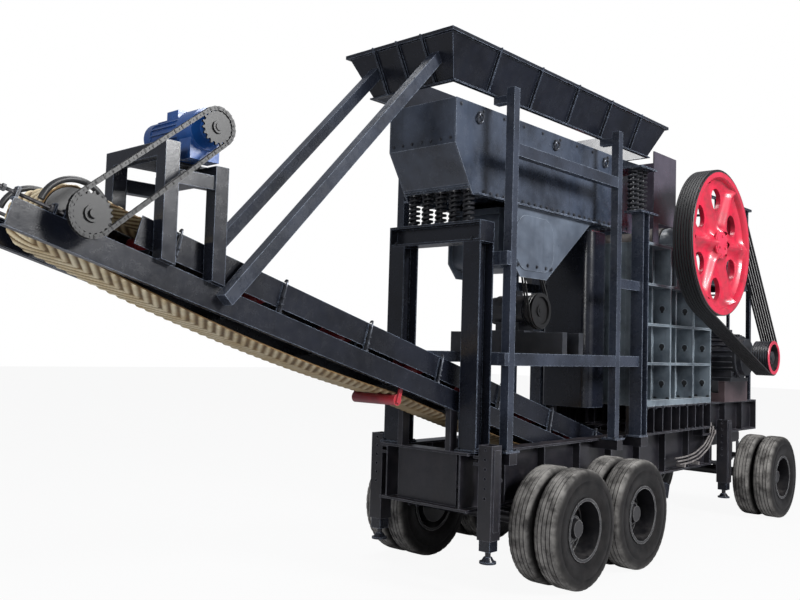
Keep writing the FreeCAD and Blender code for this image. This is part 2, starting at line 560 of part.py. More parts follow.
def feeder_trough():
    """The feeder's trough: side, back and heel plates, floor, grizzly bars, ledges and spring brackets."""
    y, t = FEEDER_HALF_WIDTH, FEEDER_WALL
    inner, floor = y - t, FEEDER_BOTTOM + 100
    side = [(FEEDER_REAR_X, FEEDER_TOP), (FEEDER_REAR_X, FEEDER_FOLD), (FEEDER_HEEL_X, FEEDER_BOTTOM),
            (FEEDER_FRONT_X, FEEDER_BOTTOM), (FEEDER_FRONT_X, FEEDER_TOP)]
    plates = both_sides(prism_y(side, inner, y))
    slope = (FEEDER_HEEL_X - FEEDER_REAR_X) / (FEEDER_FOLD - FEEDER_BOTTOM)
    heel = FEEDER_REAR_X + slope * (FEEDER_FOLD - floor)
    plates.append(box(FEEDER_REAR_X, FEEDER_REAR_X + t, -inner, inner, FEEDER_FOLD, FEEDER_TOP))
    plates.append(prism_y([(FEEDER_REAR_X, FEEDER_FOLD), (FEEDER_REAR_X + t, FEEDER_FOLD), (heel + t, floor), (heel, floor)],
                          -inner, inner))
    floor_end = 900.0
    plates.append(box(heel, floor_end, -inner, inner, floor - 24, floor))
    for i in range(8):
        by = -inner + 56 + i * (2 * inner - 112) / 7
        bar = [(floor_end, floor - 60), (floor_end, floor), (FEEDER_FRONT_X, floor), (FEEDER_FRONT_X, floor - 30)]
        plates.append(prism_y(bar, by - 16, by + 16))
    plates += [box(x - 20, x + 20, -inner, inner, FEEDER_BOTTOM, FEEDER_BOTTOM + 40) for x in (1000.0, 1700.0, 2300.0)]
    plates.append(box(FEEDER_HEEL_X + 160, FEEDER_HEEL_X + 180, -inner, inner, FEEDER_BOTTOM, floor - 24))
    spring_seat_z = FEEDER_BOTTOM + 60
    plates.append(box(FEEDER_HEEL_X - 30, FEEDER_HEEL_X + 150, -inner, inner, spring_seat_z, floor - 24))
    for ledge in both_sides(box(FEEDER_HEEL_X + 20, FEEDER_FRONT_X - 330, y, y + 60, FEEDER_BOTTOM, FEEDER_BOTTOM + 16)):
        plates.append(ledge)
    z = COLUMN_TOP + SPRING_HEIGHT
    wing = [box(COLUMN_X - 180, COLUMN_X + 210, y, POST_Y + 95, z, z + 20)]
    for gx in (COLUMN_X - 172, COLUMN_X + 202):
        wing.append(prism_x([(y, z + 20), (POST_Y + 60, z + 20), (y, FEEDER_TOP - 10)], gx - 8, gx + 8))
    plates += [piece for bar in wing for piece in both_sides(bar)]
    return plates


def coil_spring(x, y, z0, z1, coils):
    """A stout compression spring, as one turned solid with a bulge for each coil."""
    r, core = SPRING_RADIUS, SPRING_RADIUS - 18
    step = (z1 - z0) / coils
    points = [V(x, y, z0)]
    for i in range(coils):
        z = z0 + i * step
        points += [V(x + core, y, z), V(x + r, y, z + step * 0.3), V(x + r, y, z + step * 0.7), V(x + core, y, z + step)]
    kept = [points[0]] + [p for a, p in zip(points, points[1:]) if (p - a).Length > 0.01]
    kept += [V(x, y, z1), kept[0]]
    return Part.Face(Part.makePolygon(kept)).revolve(V(x, y, z0), V(0, 0, 1), 360)


def feeder_springs():
    """Five springs on the rear gantry and a set of four at each front column."""
    back, front = [], []
    x = PORTAL_X + PORTAL_DEPTH / 2
    for i in range(5):
        y = -FEEDER_HALF_WIDTH + 76 + i * (2 * FEEDER_HALF_WIDTH - 152) / 4
        back.append(coil_spring(x, y, PORTAL_TOP, FEEDER_BOTTOM + 60, 6))
    for sx in (COLUMN_X - 110, COLUMN_X + 15, COLUMN_X + 140):
        for sy in (POST_Y - 55,):
            front += both_sides(coil_spring(sx, sy, COLUMN_TOP, COLUMN_TOP + SPRING_HEIGHT, 8))
    return back, front


def exciter():
    """The exciter's round-cornered housing slung under the trough, its gussets and its pulley."""
    y = FEEDER_HALF_WIDTH
    top = FEEDER_BOTTOM
    gusset = [(-200.0, top), (1340.0, top), (430.0, 3010.0), (-60.0, 3010.0), (-200.0, 3160.0)]
    plates = [prism_y(gusset, s * (y - 8) - 8, s * (y - 8) + 8) for s in (-1, 1)]
    housing = box(-150, 530, -200, y - 16, 3100, top - 20)
    housing = housing.makeFillet(110, [e for e in housing.Edges if abs(e.Vertexes[0].Y - e.Vertexes[-1].Y) > 300])
    ties = [box(x - 40, x + 40, -y + 16, y - 16, top - 60, top) for x in (700.0, 1100.0)]
    covers = []
    for s in (-1, 1):
        plate = box(-165, 545, s * (y + 6) - 6, s * (y + 6) + 6, 3085, 3650)
        plate = plate.makeFillet(200, [e for e in plate.Edges if abs(e.Vertexes[0].Y - e.Vertexes[-1].Y) > 8])
        covers.append(plate)
    hanger = box(-150, 530, -200, y - 16, top - 60, top)
    boss = rod_y(EXCITER_X, EXCITER_Z, 70, -250, -200)
    body = join(plates + [housing, hanger, boss] + ties + covers)
    shaft = rod_y(EXCITER_X, EXCITER_Z, 32, -260, -190)
    return body.cut(shaft)


def grooved_pulley(x, z, radius, y0, y1, bore, grooves):
    """A V-belt pulley with its grooves turned in the rim, a web and a hub."""
    step = (y1 - y0) / (grooves + 0.5)
    depth = 14.0
    outline = [(0.0, radius - 40), (0.0, radius)]
    for i in range(grooves):
        a = step * (0.25 + i)
        outline += [(a + step * 0.1, radius), (a + step * 0.35, radius - depth), (a + step * 0.65, radius - depth),
                    (a + step * 0.9, radius)]
    outline += [(y1 - y0, radius), (y1 - y0, radius - 40)]
    rim = ring_profile(outline, x, y0, z)
    mid = (y0 + y1) / 2
    web = tube_y(x, z, radius - 30, bore, mid - 15, mid + 15)
    hub = tube_y(x, z, bore + 34, bore, y0 + 10, y1 - 10)
    return join([rim, web, hub])


# Jaw crusher

def crusher_frame():
    """Ribbed side walls, front and back walls, and the bearing seats of the main shaft."""
    x0, x1 = CRUSHER_REAR_X, CRUSHER_FRONT_X
    py, ry = CRUSHER_PLATE_Y, CRUSHER_RIB_Y
    top = RIB_ROWS[-1] + RIB
    outline = [(x0, CRUSHER_BASE_Z), (x1, CRUSHER_BASE_Z), (x1, 3000.0), (3720.0, top - 60), (3480.0, top), (x0, top)]
    deep = prism_y(outline, py, ry)
    parts = [prism_y(outline, py, py + 40)]
    grid = []
    for z in RIB_ROWS:
        grid.append(box(x0, x1, py + 30, ry, z, z + RIB))
    for x in RIB_COLUMNS:
        grid.append(box(x - RIB / 2, x + RIB / 2, py + 30, ry, CRUSHER_BASE_Z, top))
    grid.append(box(x0, x1, py + 30, ry, CRUSHER_BASE_Z, CRUSHER_BASE_Z + 40))
    grid += [box(2470, 2490, py + 30, ry - 90, CRUSHER_BASE_Z, top), box(3145, 3165, py + 30, ry - 90, CRUSHER_BASE_Z, 3080)]
    parts += [g.common(deep) for g in grid]
    seat = prism_y([(SHAFT_X - 260, 3080.0), (SHAFT_X + 260, 3080.0), (SHAFT_X + 260, SHAFT_Z), (SHAFT_X - 260, SHAFT_Z)], py, ry)
    cap = rod_y(SHAFT_X, SHAFT_Z, 235, py, ry)
    parts += [seat, cap]
    wall = join(parts)
    wall = wall.cut(rod_y(SHAFT_X, SHAFT_Z, 120 + RUNNING_GAP, py - 10, ry + 10))
    slots = [box(2950, 3080, py - 5, py + 60, 1780, 1990), rod_y(2300, 3330, 55, py - 5, py + 60),
             rod_y(2300, 2860, 40, py - 5, py + 60), rod_y(2300, 1850, 45, py - 5, py + 60)]
    wall = wall.cut(Part.makeCompound(slots))
    front = join([box(x0, x0 + 60, -py, py, CRUSHER_BASE_Z, top)]
                 + [box(x0 + 60, x0 + 130, -py, py, z, z + RIB) for z in RIB_ROWS[1:]])
    back = box(x1 - 60, x1, -py, py, CRUSHER_BASE_Z, 2900)
    toggle_seat = box(TOGGLE_SEAT_X, x1 - 60, -py, py, 2200, 2520)
    return both_sides(wall) + [front, back, toggle_seat]


def toothed_plate(width, height, thick, teeth):
    """A jaw plate: upright ridges on one face, drawn about its own foot."""
    step = width / teeth
    points = [(-width / 2, 0.0)]
    for i in range(teeth):
        y = -width / 2 + i * step
        points += [(y + step * 0.12, thick), (y + step * 0.38, thick), (y + step * 0.5, thick - 34),
                   (y + step * 0.62, thick - 34), (y + step * 0.88, thick - 34)]
    points.append((width / 2, thick - 34))
    points.append((width / 2, 0.0))
    wire = Part.makePolygon([V(b, a, 0) for a, b in points + points[:1]])
    return Part.Face(wire).extrude(V(0, 0, height))


def jaws():
    """The fixed jaw plate on the front wall and the swinging jaw that hangs from the main shaft."""
    width = 2 * CRUSHER_PLATE_Y - 20
    fixed = toothed_plate(width, 1500, 110, 9)
    fixed.translate(V(CRUSHER_REAR_X + 130, 0, 1900))
    half = width / 2
    outline = [(3010.0, 3640.0), (2680.0, 1900.0), (2860.0, 1800.0), (3180.0, 2250.0), (3450.0, 3560.0)]
    pitman = prism_y(outline, -half, half)
    barrel = rod_y(SHAFT_X, SHAFT_Z, 250, -half, half)
    pitman = join([pitman, barrel]).cut(rod_y(SHAFT_X, SHAFT_Z, 120 + RUNNING_GAP, -half - 10, half + 10))
    plate = toothed_plate(width, 1450, 80, 9)
    plate.rotate(V(0, 0, 0), V(0, 0, 1), 180)
    plate.rotate(V(0, 0, 0), V(0, 1, 0), math.degrees(math.atan2(330, 1740)))
    plate.translate(V(2714.0 - 5.0, 0, 2040.0))
    toggle = prism_y([(2900.0, 2060.0), (2960.0, 2010.0), (TOGGLE_SEAT_X - RUNNING_GAP, 2330.0),
                       (TOGGLE_SEAT_X - RUNNING_GAP, 2400.0)], -half + 40, half - 40)
    return fixed, pitman, plate, toggle


def flywheel(side, grooved):
    """A flywheel: heavy rim, dished web with six holes, six tapered ribs and a bored hub."""
    r, w = FLYWHEEL_RADIUS, FLYWHEEL_WIDTH
    y0 = FLYWHEEL_OUTER_Y - w
    x, z = SHAFT_X, SHAFT_Z
    outline = [(0.0, r - 95), (0.0, r)]
    if grooved:
        grooves = 7
        step = (w - 20) / grooves
        for i in range(grooves):
            a = 10 + step * i
            outline += [(a + step * 0.12, r), (a + step * 0.34, r - 20), (a + step * 0.66, r - 20), (a + step * 0.88, r)]
    outline += [(w, r), (w, r - 75)]
    rim = ring_profile(outline, x, y0, z)
    web = ring_profile([(70.0, 130.0), (110.0, 130.0), (150.0, r - 90), (110.0, r - 90)], x, y0, z)
    for i in range(6):
        a = math.radians(60 * i + 30)
        web = web.cut(rod_y(x + 560 * math.cos(a), z + 560 * math.sin(a), 118, y0 - 10, y0 + w + 10))
    ribs = []
    for i in range(6):
        rib = prism_y([(150.0, -55.0), (r - 84, -28.0), (r - 84, 28.0), (150.0, 55.0)], y0 + 95, y0 + 195)
        rib.rotate(V(0, 0, 0), V(0, 1, 0), 60.0 * i)
        rib.translate(V(x, 0, z))
        ribs.append(rib)
    hub = rod_y(x, z, 170, y0 + 10, y0 + w - 30)
    body = join([rim, web, hub] + ribs)
    body = body.cut(rod_y(x, z, 90, y0 - 10, y0 + w + 10))
    return body if side > 0 else body.mirror(V(0, 0, 0), V(0, 1, 0))


def main_shaft():
    """The crusher's stepped main shaft with an end cap at each flywheel."""
    x, z = SHAFT_X, SHAFT_Z
    y0, y1 = FLYWHEEL_OUTER_Y - FLYWHEEL_WIDTH, FLYWHEEL_OUTER_Y - 30
    step = y0 + 10 - RUNNING_GAP
    cap = FLYWHEEL_OUTER_Y - 30
    return join([rod_y(x, z, 120, -step, step), rod_y(x, z, 90, -y1, y1),
                 rod_y(x, z, 150, cap, cap + 24), rod_y(x, z, 150, -cap - 24, -cap)]
                + [rod_y(x + 95 * math.cos(a), z + 95 * math.sin(a), 18, s * (cap + 24) - (16 if s < 0 else 0),
                         s * (cap + 24) + (16 if s > 0 else 0))
                   for s in (-1, 1) for a in (math.pi / 2, math.pi * 7 / 6, math.pi * 11 / 6)])


def drive_motor():
    """The crusher's motor: finned body, end bells, terminal box and foot rails."""
    x, z = MOTOR_X, MOTOR_Z
    y0, y1 = -820.0, -60.0
    r = 300.0
    parts = [rod_y(x, z, r, y0 + 70, y1 - 90), rod_y(x, z, r - 40, y0, y0 + 70),
             rod_y(x, z, r - 20, y1 - 90, y1)]
    for i in range(24):
        a = math.radians(15 * i)
        fin = box(r - 10, r + 24, y0 + 110, y1 - 130, -6, 6)
        fin.rotate(V(0, 0, 0), V(0, 1, 0), 15.0 * i)
        fin.translate(V(x, 0, z))
        parts.append(fin)
    parts.append(box(x - 330, x + 330, y0 + 110, y1 - 130, z - 350, z - 300))
    parts.append(box(x - 240, x + 240, y0 + 130, y1 - 150, z - 320, z - 200))
    parts.append(box(x - 110, x + 110, -560, -330, z + 250, z + 390))
    body = join(parts)
    return body.cut(rod_y(x, z, 45 + RUNNING_GAP, y0 - 5, y0 + 260))


def motor_bed():
    """The slide rails and box stand under the crusher's motor."""
    z1 = MOTOR_Z - 350
    parts = [box(MOTOR_X - 420, MOTOR_X + 420, y - 45, y + 45, NECK_TOP, z1) for y in (-620.0, -250.0)]
    parts += [box(x - 30, x + 30, -660, -205, NECK_TOP, NECK_TOP + 120) for x in (MOTOR_X - 390, MOTOR_X + 390)]
    return join(parts)


def platform():
    """The service deck over the motor: posts, edge beams, plate, stanchions and two lines of rails."""
    x0, x1, y, z = DECK_REAR_X, DECK_FRONT_X, DECK_HALF_WIDTH, DECK_Z
    bars = [box(x0, x1, -y, y, z, z + 12)]
    bars += [box(x, x + 60, -y + 60, y - 60, z - 90, z) for x in (x0, x1 - 60)]
    side = [box(x0, x1, y - 60, y, z - 90, z)]
    side += [box(x, x + 60, y - 60, y, NECK_TOP, z - 90) for x in (x0, x1 - 60)]
    side += [box(x0, x1 - 36, y - 36, y, z + rz, z + rz + 36) for rz in (560, 1130)]
    spaces = 4
    for i in range(spaces + 1):
        x = x0 + (x1 - 36 - 36 - x0) * i / spaces
        side.append(box(x, x + 36, y - 72, y - 36, z + 12, z + 1166))
    side.append(box(x1 - 72, x1 - 36, 180, 216, z + 12, z + 1166))
    bars += [piece for bar in side for piece in both_sides(bar)]
    bars += [box(x1 - 36, x1, -y, y, z + rz, z + rz + 36) for rz in (560, 1130)]
    return bars


def ladder():
    """The ladder from the front deck up to the service deck, at the front end."""
    x = DECK_FRONT_X
    rungs = 6
    pitch = (DECK_Z - NECK_TOP) / rungs
    return both_sides(box(x, x + 40, 180, 220, NECK_TOP, DECK_Z)) + [
        box(x + 8, x + 32, -180, 180, NECK_TOP + pitch * (i + 0.5), NECK_TOP + pitch * (i + 0.5) + 24) for i in range(rungs)]


def cabinet():
    """The electrical cabinet beside the motor, with its plinth, rain roof and door frame."""
    x0, x1, y0, y1 = CABINET
    top = NECK_TOP + 1150
    body = box(x0, x1, y0, y1, NECK_TOP + 80, top)
    body = body.makeFillet(12, [e for e in body.Edges if abs(e.Vertexes[0].Z - e.Vertexes[-1].Z) > 500])
    plinth = box(x0 + 20, x1 - 20, y0 + 20, y1 - 20, NECK_TOP, NECK_TOP + 80)
    roof = prism_x([(y0 - 30, top), (y1 + 30, top), (y1 + 30, top + 20), (y0 - 30, top + 45)], x0 - 30, x1 + 30)
    door = box(x0 + 40, x1 - 40, y1, y1 + 14, NECK_TOP + 120, top - 40)
    return join([body, plinth, roof, door])


def crusher_hood():
    """Tall guard plates round the crusher's mouth."""
    t = 16.0
    z0, low, top = RIB_ROWS[-1] + RIB, SHAFT_Z + 260.0, 4820.0
    x0, x1, y = 2720.0, 3360.0, 500.0
    cheek = prism_y([(x0, z0), (x0 + 150, z0), (x0 + 150, low), (x1, low), (x1, top), (x0, top)], y, y + t)
    return both_sides(cheek) + [box(x1 - t, x1, -y, y, low, top)]


def fines_chute():
    """The duct with rounded corners that drops the feeder's fines on the belt."""
    x0, x1, y = 1500.0, 1930.0, 330.0
    z0, z1 = 1620.0, 3680.0
    duct = box(x0, x1, -y, y, z0, z1)
    duct = duct.makeFillet(110, [e for e in duct.Edges if abs(e.Vertexes[0].Z - e.Vertexes[-1].Z) > 500])
    inner = box(x0 + 12, x1 - 12, -y + 12, y - 12, z0 - 1, z1 + 1)
    inner = inner.makeFillet(98, [e for e in inner.Edges if abs(e.Vertexes[0].Z - e.Vertexes[-1].Z) > 500])
    duct = duct.cut(inner)
    arms = [box(x0 + 150, x0 + 230, y - 2, POST_Y - 40, RAIL_LOW_Z + 20, RAIL_LOW_Z + 100)]
    return join([duct] + both_sides(arms[0]))


# Belt conveyor

def conveyor_frame():
    """Two channels with their bearing blocks, the cross members and the idler stands on them."""
    top, low = CHANNEL_TOP, CHANNEL_TOP - CHANNEL_DEPTH
    y, f, t = CHANNEL_OUTER_Y, CHANNEL_FLANGE, CHANNEL_WALL
    u0, u1 = -CHANNEL_OVERHANG, CONVEYOR_LENGTH + 320.0
    channel = [box(u0, u1, y - t, y, low, top), box(u0, u1, y - f, y, low, low + t), box(u0, u1, y - f, y, top - t, top)]
    for u, size in ((0.0, 80.0), (CONVEYOR_LENGTH, 70.0)):
        channel += [box(u - size, u + size, y - 52, y - 4, top, 10.0), rod_y(u, 0.0, 62, y - 52, y - 4)]
    bores = Part.makeCompound([rod_y(u, 0, PULLEY_SHAFT_RADIUS + RUNNING_GAP, y - 60, y + 60) for u in (0.0, CONVEYOR_LENGTH)])
    members = both_sides(join(channel).cut(bores))
    for u in range(700, int(CONVEYOR_LENGTH), 1000):
        members.append(box(u - 30, u + 30, -y + t, y - t, top - 60, top - t))
        roll = carry_height(u) - 2 * IDLER_RADIUS - 2 * RUNNING_GAP
        members.append(box(u - 20, u + 20, -78, 78, top - t, roll))
        for a in (205.0,):
            members += both_sides(box(u - 8, u + 8, a - 8, a + 8, top - t, wing_foot(u, a)))
    return [on_conveyor(m) for m in members]


def wing_foot(u, y):
    """Height just under a wing roller's lowest line at a distance y from the middle."""
    a = math.radians(wing_angle(u))
    return carry_height(u) + (y - BELT_FLAT) * math.tan(a) - 2 * (IDLER_RADIUS + RUNNING_GAP) / math.cos(a) - 6.0


def carrying_idlers():
    """Three-roll sets under the carrying strand and plain rolls under the return strand."""
    rolls = []
    w = CARRY_W - RUNNING_GAP - IDLER_RADIUS
    for u in range(700, int(CONVEYOR_LENGTH), 1000):
        drop = carry_height(u) - CARRY_W
        rolls.append(rod_y(u, w + drop, IDLER_RADIUS, -85, 85))
        for s in (-1, 1):
            roll = rod_y(0, -IDLER_RADIUS - RUNNING_GAP, IDLER_RADIUS, 8, 142)
            roll.rotate(V(0, 0, 0), V(1, 0, 0), wing_angle(u))
            if s < 0:
                roll = roll.mirror(V(0, 0, 0), V(0, 1, 0))
            roll.translate(V(u, s * BELT_FLAT, carry_height(u)))
            rolls.append(roll)
    returns = []
    for u in RETURN_IDLERS:
        r = rod_y(u, RETURN_W - CONVEYOR_BELT_THICK - 50 - RUNNING_GAP, 50, -262, 262)
        hangers = [box(u - 20, u + 20, s * 272 - 8, s * 272 + 8, RETURN_W - 90, CHANNEL_TOP - CHANNEL_DEPTH) for s in (-1, 1)]
        returns.append(join([r] + [rod_y(u, RETURN_W - CONVEYOR_BELT_THICK - 50 - RUNNING_GAP, 14, -270, 270)] + hangers))
    return [on_conveyor(r) for r in rolls], [on_conveyor(r) for r in returns]




def carry_height(u):
    """Height of the carrying strand's middle: it falls from each pulley to the idlers."""
    if u < TROUGH_START:
        return HEAD_RADIUS + (CARRY_W - HEAD_RADIUS) * u / TROUGH_START
    far = CONVEYOR_LENGTH - u
    if far < TROUGH_START:
        return TAIL_RADIUS + (CARRY_W - TAIL_RADIUS) * far / TROUGH_START
    return CARRY_W


def wing_angle(u):
    """Lean of the belt's two wings, which grows from each pulley to the full trough."""
    share = min(1.0, u / TROUGH_START, (CONVEYOR_LENGTH - u) / TROUGH_START)
    a = math.radians(TROUGH_ANGLE)
    return math.degrees(math.atan2(share * math.sin(a), 1 - share + share * math.cos(a)))


def conveyor_belt():
    """The belt: flat round the pulleys, troughed on the idlers, and slack on the way back."""
    t, half = CONVEYOR_BELT_THICK, CONVEYOR_BELT_WIDTH / 2
    length = CONVEYOR_LENGTH
    flat = BELT_FLAT

    def section(u, w, angle):
        a = math.radians(angle)
        wing = half - flat
        y1, w1 = flat + wing * math.cos(a), w + wing * math.sin(a)
        pts = [V(u, -y1, w1), V(u, -flat, w), V(u, flat, w), V(u, y1, w1),
               V(u, y1 - t * math.sin(a), w1 + t * math.cos(a)), V(u, flat, w + t), V(u, -flat, w + t),
               V(u, -y1 + t * math.sin(a), w1 + t * math.cos(a))]
        return Part.makePolygon(pts + pts[:1])
    spans = [section(0, HEAD_RADIUS, 0), section(TROUGH_START, CARRY_W, TROUGH_ANGLE),
             section(length - TROUGH_START, CARRY_W, TROUGH_ANGLE), section(length, TAIL_RADIUS, 0)]
    carry = Part.makeLoft(spans, True, True)
    head = tube_y(0, 0, HEAD_RADIUS + t, HEAD_RADIUS, -half, half).common(
        box(-400, 0, -half, half, -400, 400))
    tail = tube_y(length, 0, TAIL_RADIUS + t, TAIL_RADIUS, -half, half).common(
        box(length, length + 400, -half, half, -400, 400))
    stops = [(0.0, -HEAD_RADIUS), (RETURN_IDLERS[0], RETURN_W), (RETURN_IDLERS[1], RETURN_W), (length, -TAIL_RADIUS)]
    sags = (70.0, 20.0, 25.0)
    strand = []
    for (u0, w0), (u1, w1), sag in zip(stops, stops[1:], sags):
        a, c = V(u0, 0, w0), V(u1, 0, w1)
        b = (a + c) * 0.5 - V(0, 0, sag)
        down = V(0, 0, -t)
        edges = [Part.Arc(a, b, c).toShape(), Part.LineSegment(c, c + down).toShape(),
                 Part.Arc(c + down, b + down, a + down).toShape(), Part.LineSegment(a + down, a).toShape()]
        piece = Part.Face(Part.Wire(edges)).extrude(V(0, 2 * half, 0))
        piece.translate(V(0, -half, 0))
        strand.append(piece)
    return on_conveyor(join([carry, head, tail] + strand))


def skirt_boards():
    """The long black side boards above the channels, on upright straps."""
    y = CONVEYOR_BELT_WIDTH / 2 + 17
    parts = [box(450, CONVEYOR_LENGTH - 250, y - 4, y + 4, 4.0, 205.0)]
    for u in range(700, int(CONVEYOR_LENGTH), 1000):
        parts.append(box(u + 30, u + 80, y + 4, y + 14, CHANNEL_TOP, 190.0))
    board = join(parts)
    return [on_conveyor(b) for b in both_sides(board)]


def pulley_drum(u, radius, y_ends, crown=4.0):
    """A belt pulley with a crowned face, end discs and its shaft."""
    half = CONVEYOR_BELT_WIDTH / 2 + 8
    low = radius - crown - RUNNING_GAP
    outline = [(-half, 40.0), (-half, low), (0.0, low + crown), (half, low), (half, 40.0)]
    drum = ring_profile(outline, u, 0.0, 0.0)
    return on_conveyor(join([drum, rod_y(u, 0, PULLEY_SHAFT_RADIUS, y_ends[0], y_ends[1]), rod_y(u, 0, 60, -half, half)]))


def sprocket(x, z, radius, teeth, y0, y1, bore):
    """A chain wheel: a toothed disc, with a hub."""
    points = []
    for i in range(teeth):
        base = 2 * math.pi * i / teeth
        step = 2 * math.pi / teeth
        for share, r in ((-0.32, radius - 14), (-0.12, radius + TOOTH_TIP), (0.12, radius + TOOTH_TIP), (0.32, radius - 14)):
            a = base + share * step
            points.append((x + r * math.cos(a), z + r * math.sin(a)))
    disc = prism_y(points, y0, y1)
    hub = rod_y(x, z, bore + 26, y0 - 14, y1 + 14)
    return join([disc, hub]).cut(rod_y(x, z, bore, y0 - 30, y1 + 30))


def drive_stand():
    """The four-post stand on the channels that carries the conveyor's gear motor."""
    h = DRIVE_POST / 2
    y = CONVEYOR_BELT_WIDTH / 2 + 35 + h
    parts = []
    for s in (-1, 1):
        for x, top in ((DRIVE_POST_REAR_X, DRIVE_POST_REAR_TOP), (DRIVE_POST_FRONT_X, DRIVE_POST_FRONT_TOP)):
            foot = [(x - h, seat_height(x - h)), (x + h, seat_height(x + h)), (x + h, top), (x - h, top)]
            parts.append(prism_y(foot, s * y - h, s * y + h))
        parts.append(box(DRIVE_POST_REAR_X, DRIVE_POST_FRONT_X, s * y - 40, s * y + 40, 3320, 3420))
    for x, top in ((DRIVE_POST_REAR_X, DRIVE_POST_REAR_TOP), (DRIVE_POST_FRONT_X, DRIVE_POST_FRONT_TOP)):
        parts.append(box(x - h, x + h, -y, y, top - 100, top))
    parts.append(box(DRIVE_POST_REAR_X, DRIVE_POST_FRONT_X, -200, 200, 3490, 3510))
    return join(parts)


def seat_height(x):
    """Height of the channels' top face over a place along X."""
    a = math.radians(SLOPE)
    u = (x - HEAD_X - CHANNEL_TOP * math.sin(a)) / math.cos(a)
    return HEAD_Z - u * math.sin(a) + CHANNEL_TOP * math.cos(a)


def gear_motor():
    """The conveyor's blue gear motor: gear head, finned motor, fan cover and foot."""
    x, z = UPPER_X, UPPER_Z
    parts = [rod_y(x, z, 150, -400, -220), rod_y(x, z, 118, -220, 150), rod_y(x, z, 126, 150, 230),
             box(x - 130, x + 110, -380, -240, 3510, z), rod_y(x, z, 70, -430, -400)]
    for i in range(18):
        fin = box(110, 132, -200, 140, -4, 4)
        fin.rotate(V(0, 0, 0), V(0, 1, 0), 20.0 * i)
        fin.translate(V(x, 0, z))
        parts.append(fin)
    parts.append(box(x - 70, x + 70, -120, 20, z + 90, z + 170))
    parts.append(box(x - 100, x + 100, -180, 180, 3510, 3540))
    parts.append(box(x - 60, x + 60, -160, 120, 3530, z - 90))
    return join(parts).cut(rod_y(x, z, 28 + RUNNING_GAP, -440, -300))


def struts():
    """The two long braces from the conveyor's channels up to the hopper's rear wall."""
    foot, head_z = (STRUT_FOOT_X, STRUT_FOOT_Z), HOPPER_LOW_Z + STRUT_HEAD_RISE
    lean = (HOPPER_LOW[0] - HOPPER_RIM[0]) / (HOPPER_RIM_Z - HOPPER_LOW_Z)
    head_x = HOPPER_LOW[0] - lean * (head_z - HOPPER_LOW_Z)
    run, rise = head_x - foot[0], head_z - foot[1]
    length = math.hypot(run, rise)
    nx, nz = -rise / length * STRUT_SIZE / 2, run / length * STRUT_SIZE / 2

    def meet(s):
        """Where one edge of the brace meets the hopper's wall."""
        px, pz = foot[0] + s * nx, foot[1] + s * nz
        t = (HOPPER_LOW[0] - RUNNING_GAP - lean * (pz - HOPPER_LOW_Z) - px) / (run + lean * rise)
        return px + t * run, pz + t * rise
    outline = [(foot[0] + nx, foot[1] + nz), (foot[0] - nx, foot[1] - nz), meet(-1), meet(1)]
    inner = CHANNEL_OUTER_Y + RUNNING_GAP
    return both_sides(prism_y(outline, inner, inner + STRUT_SIZE))


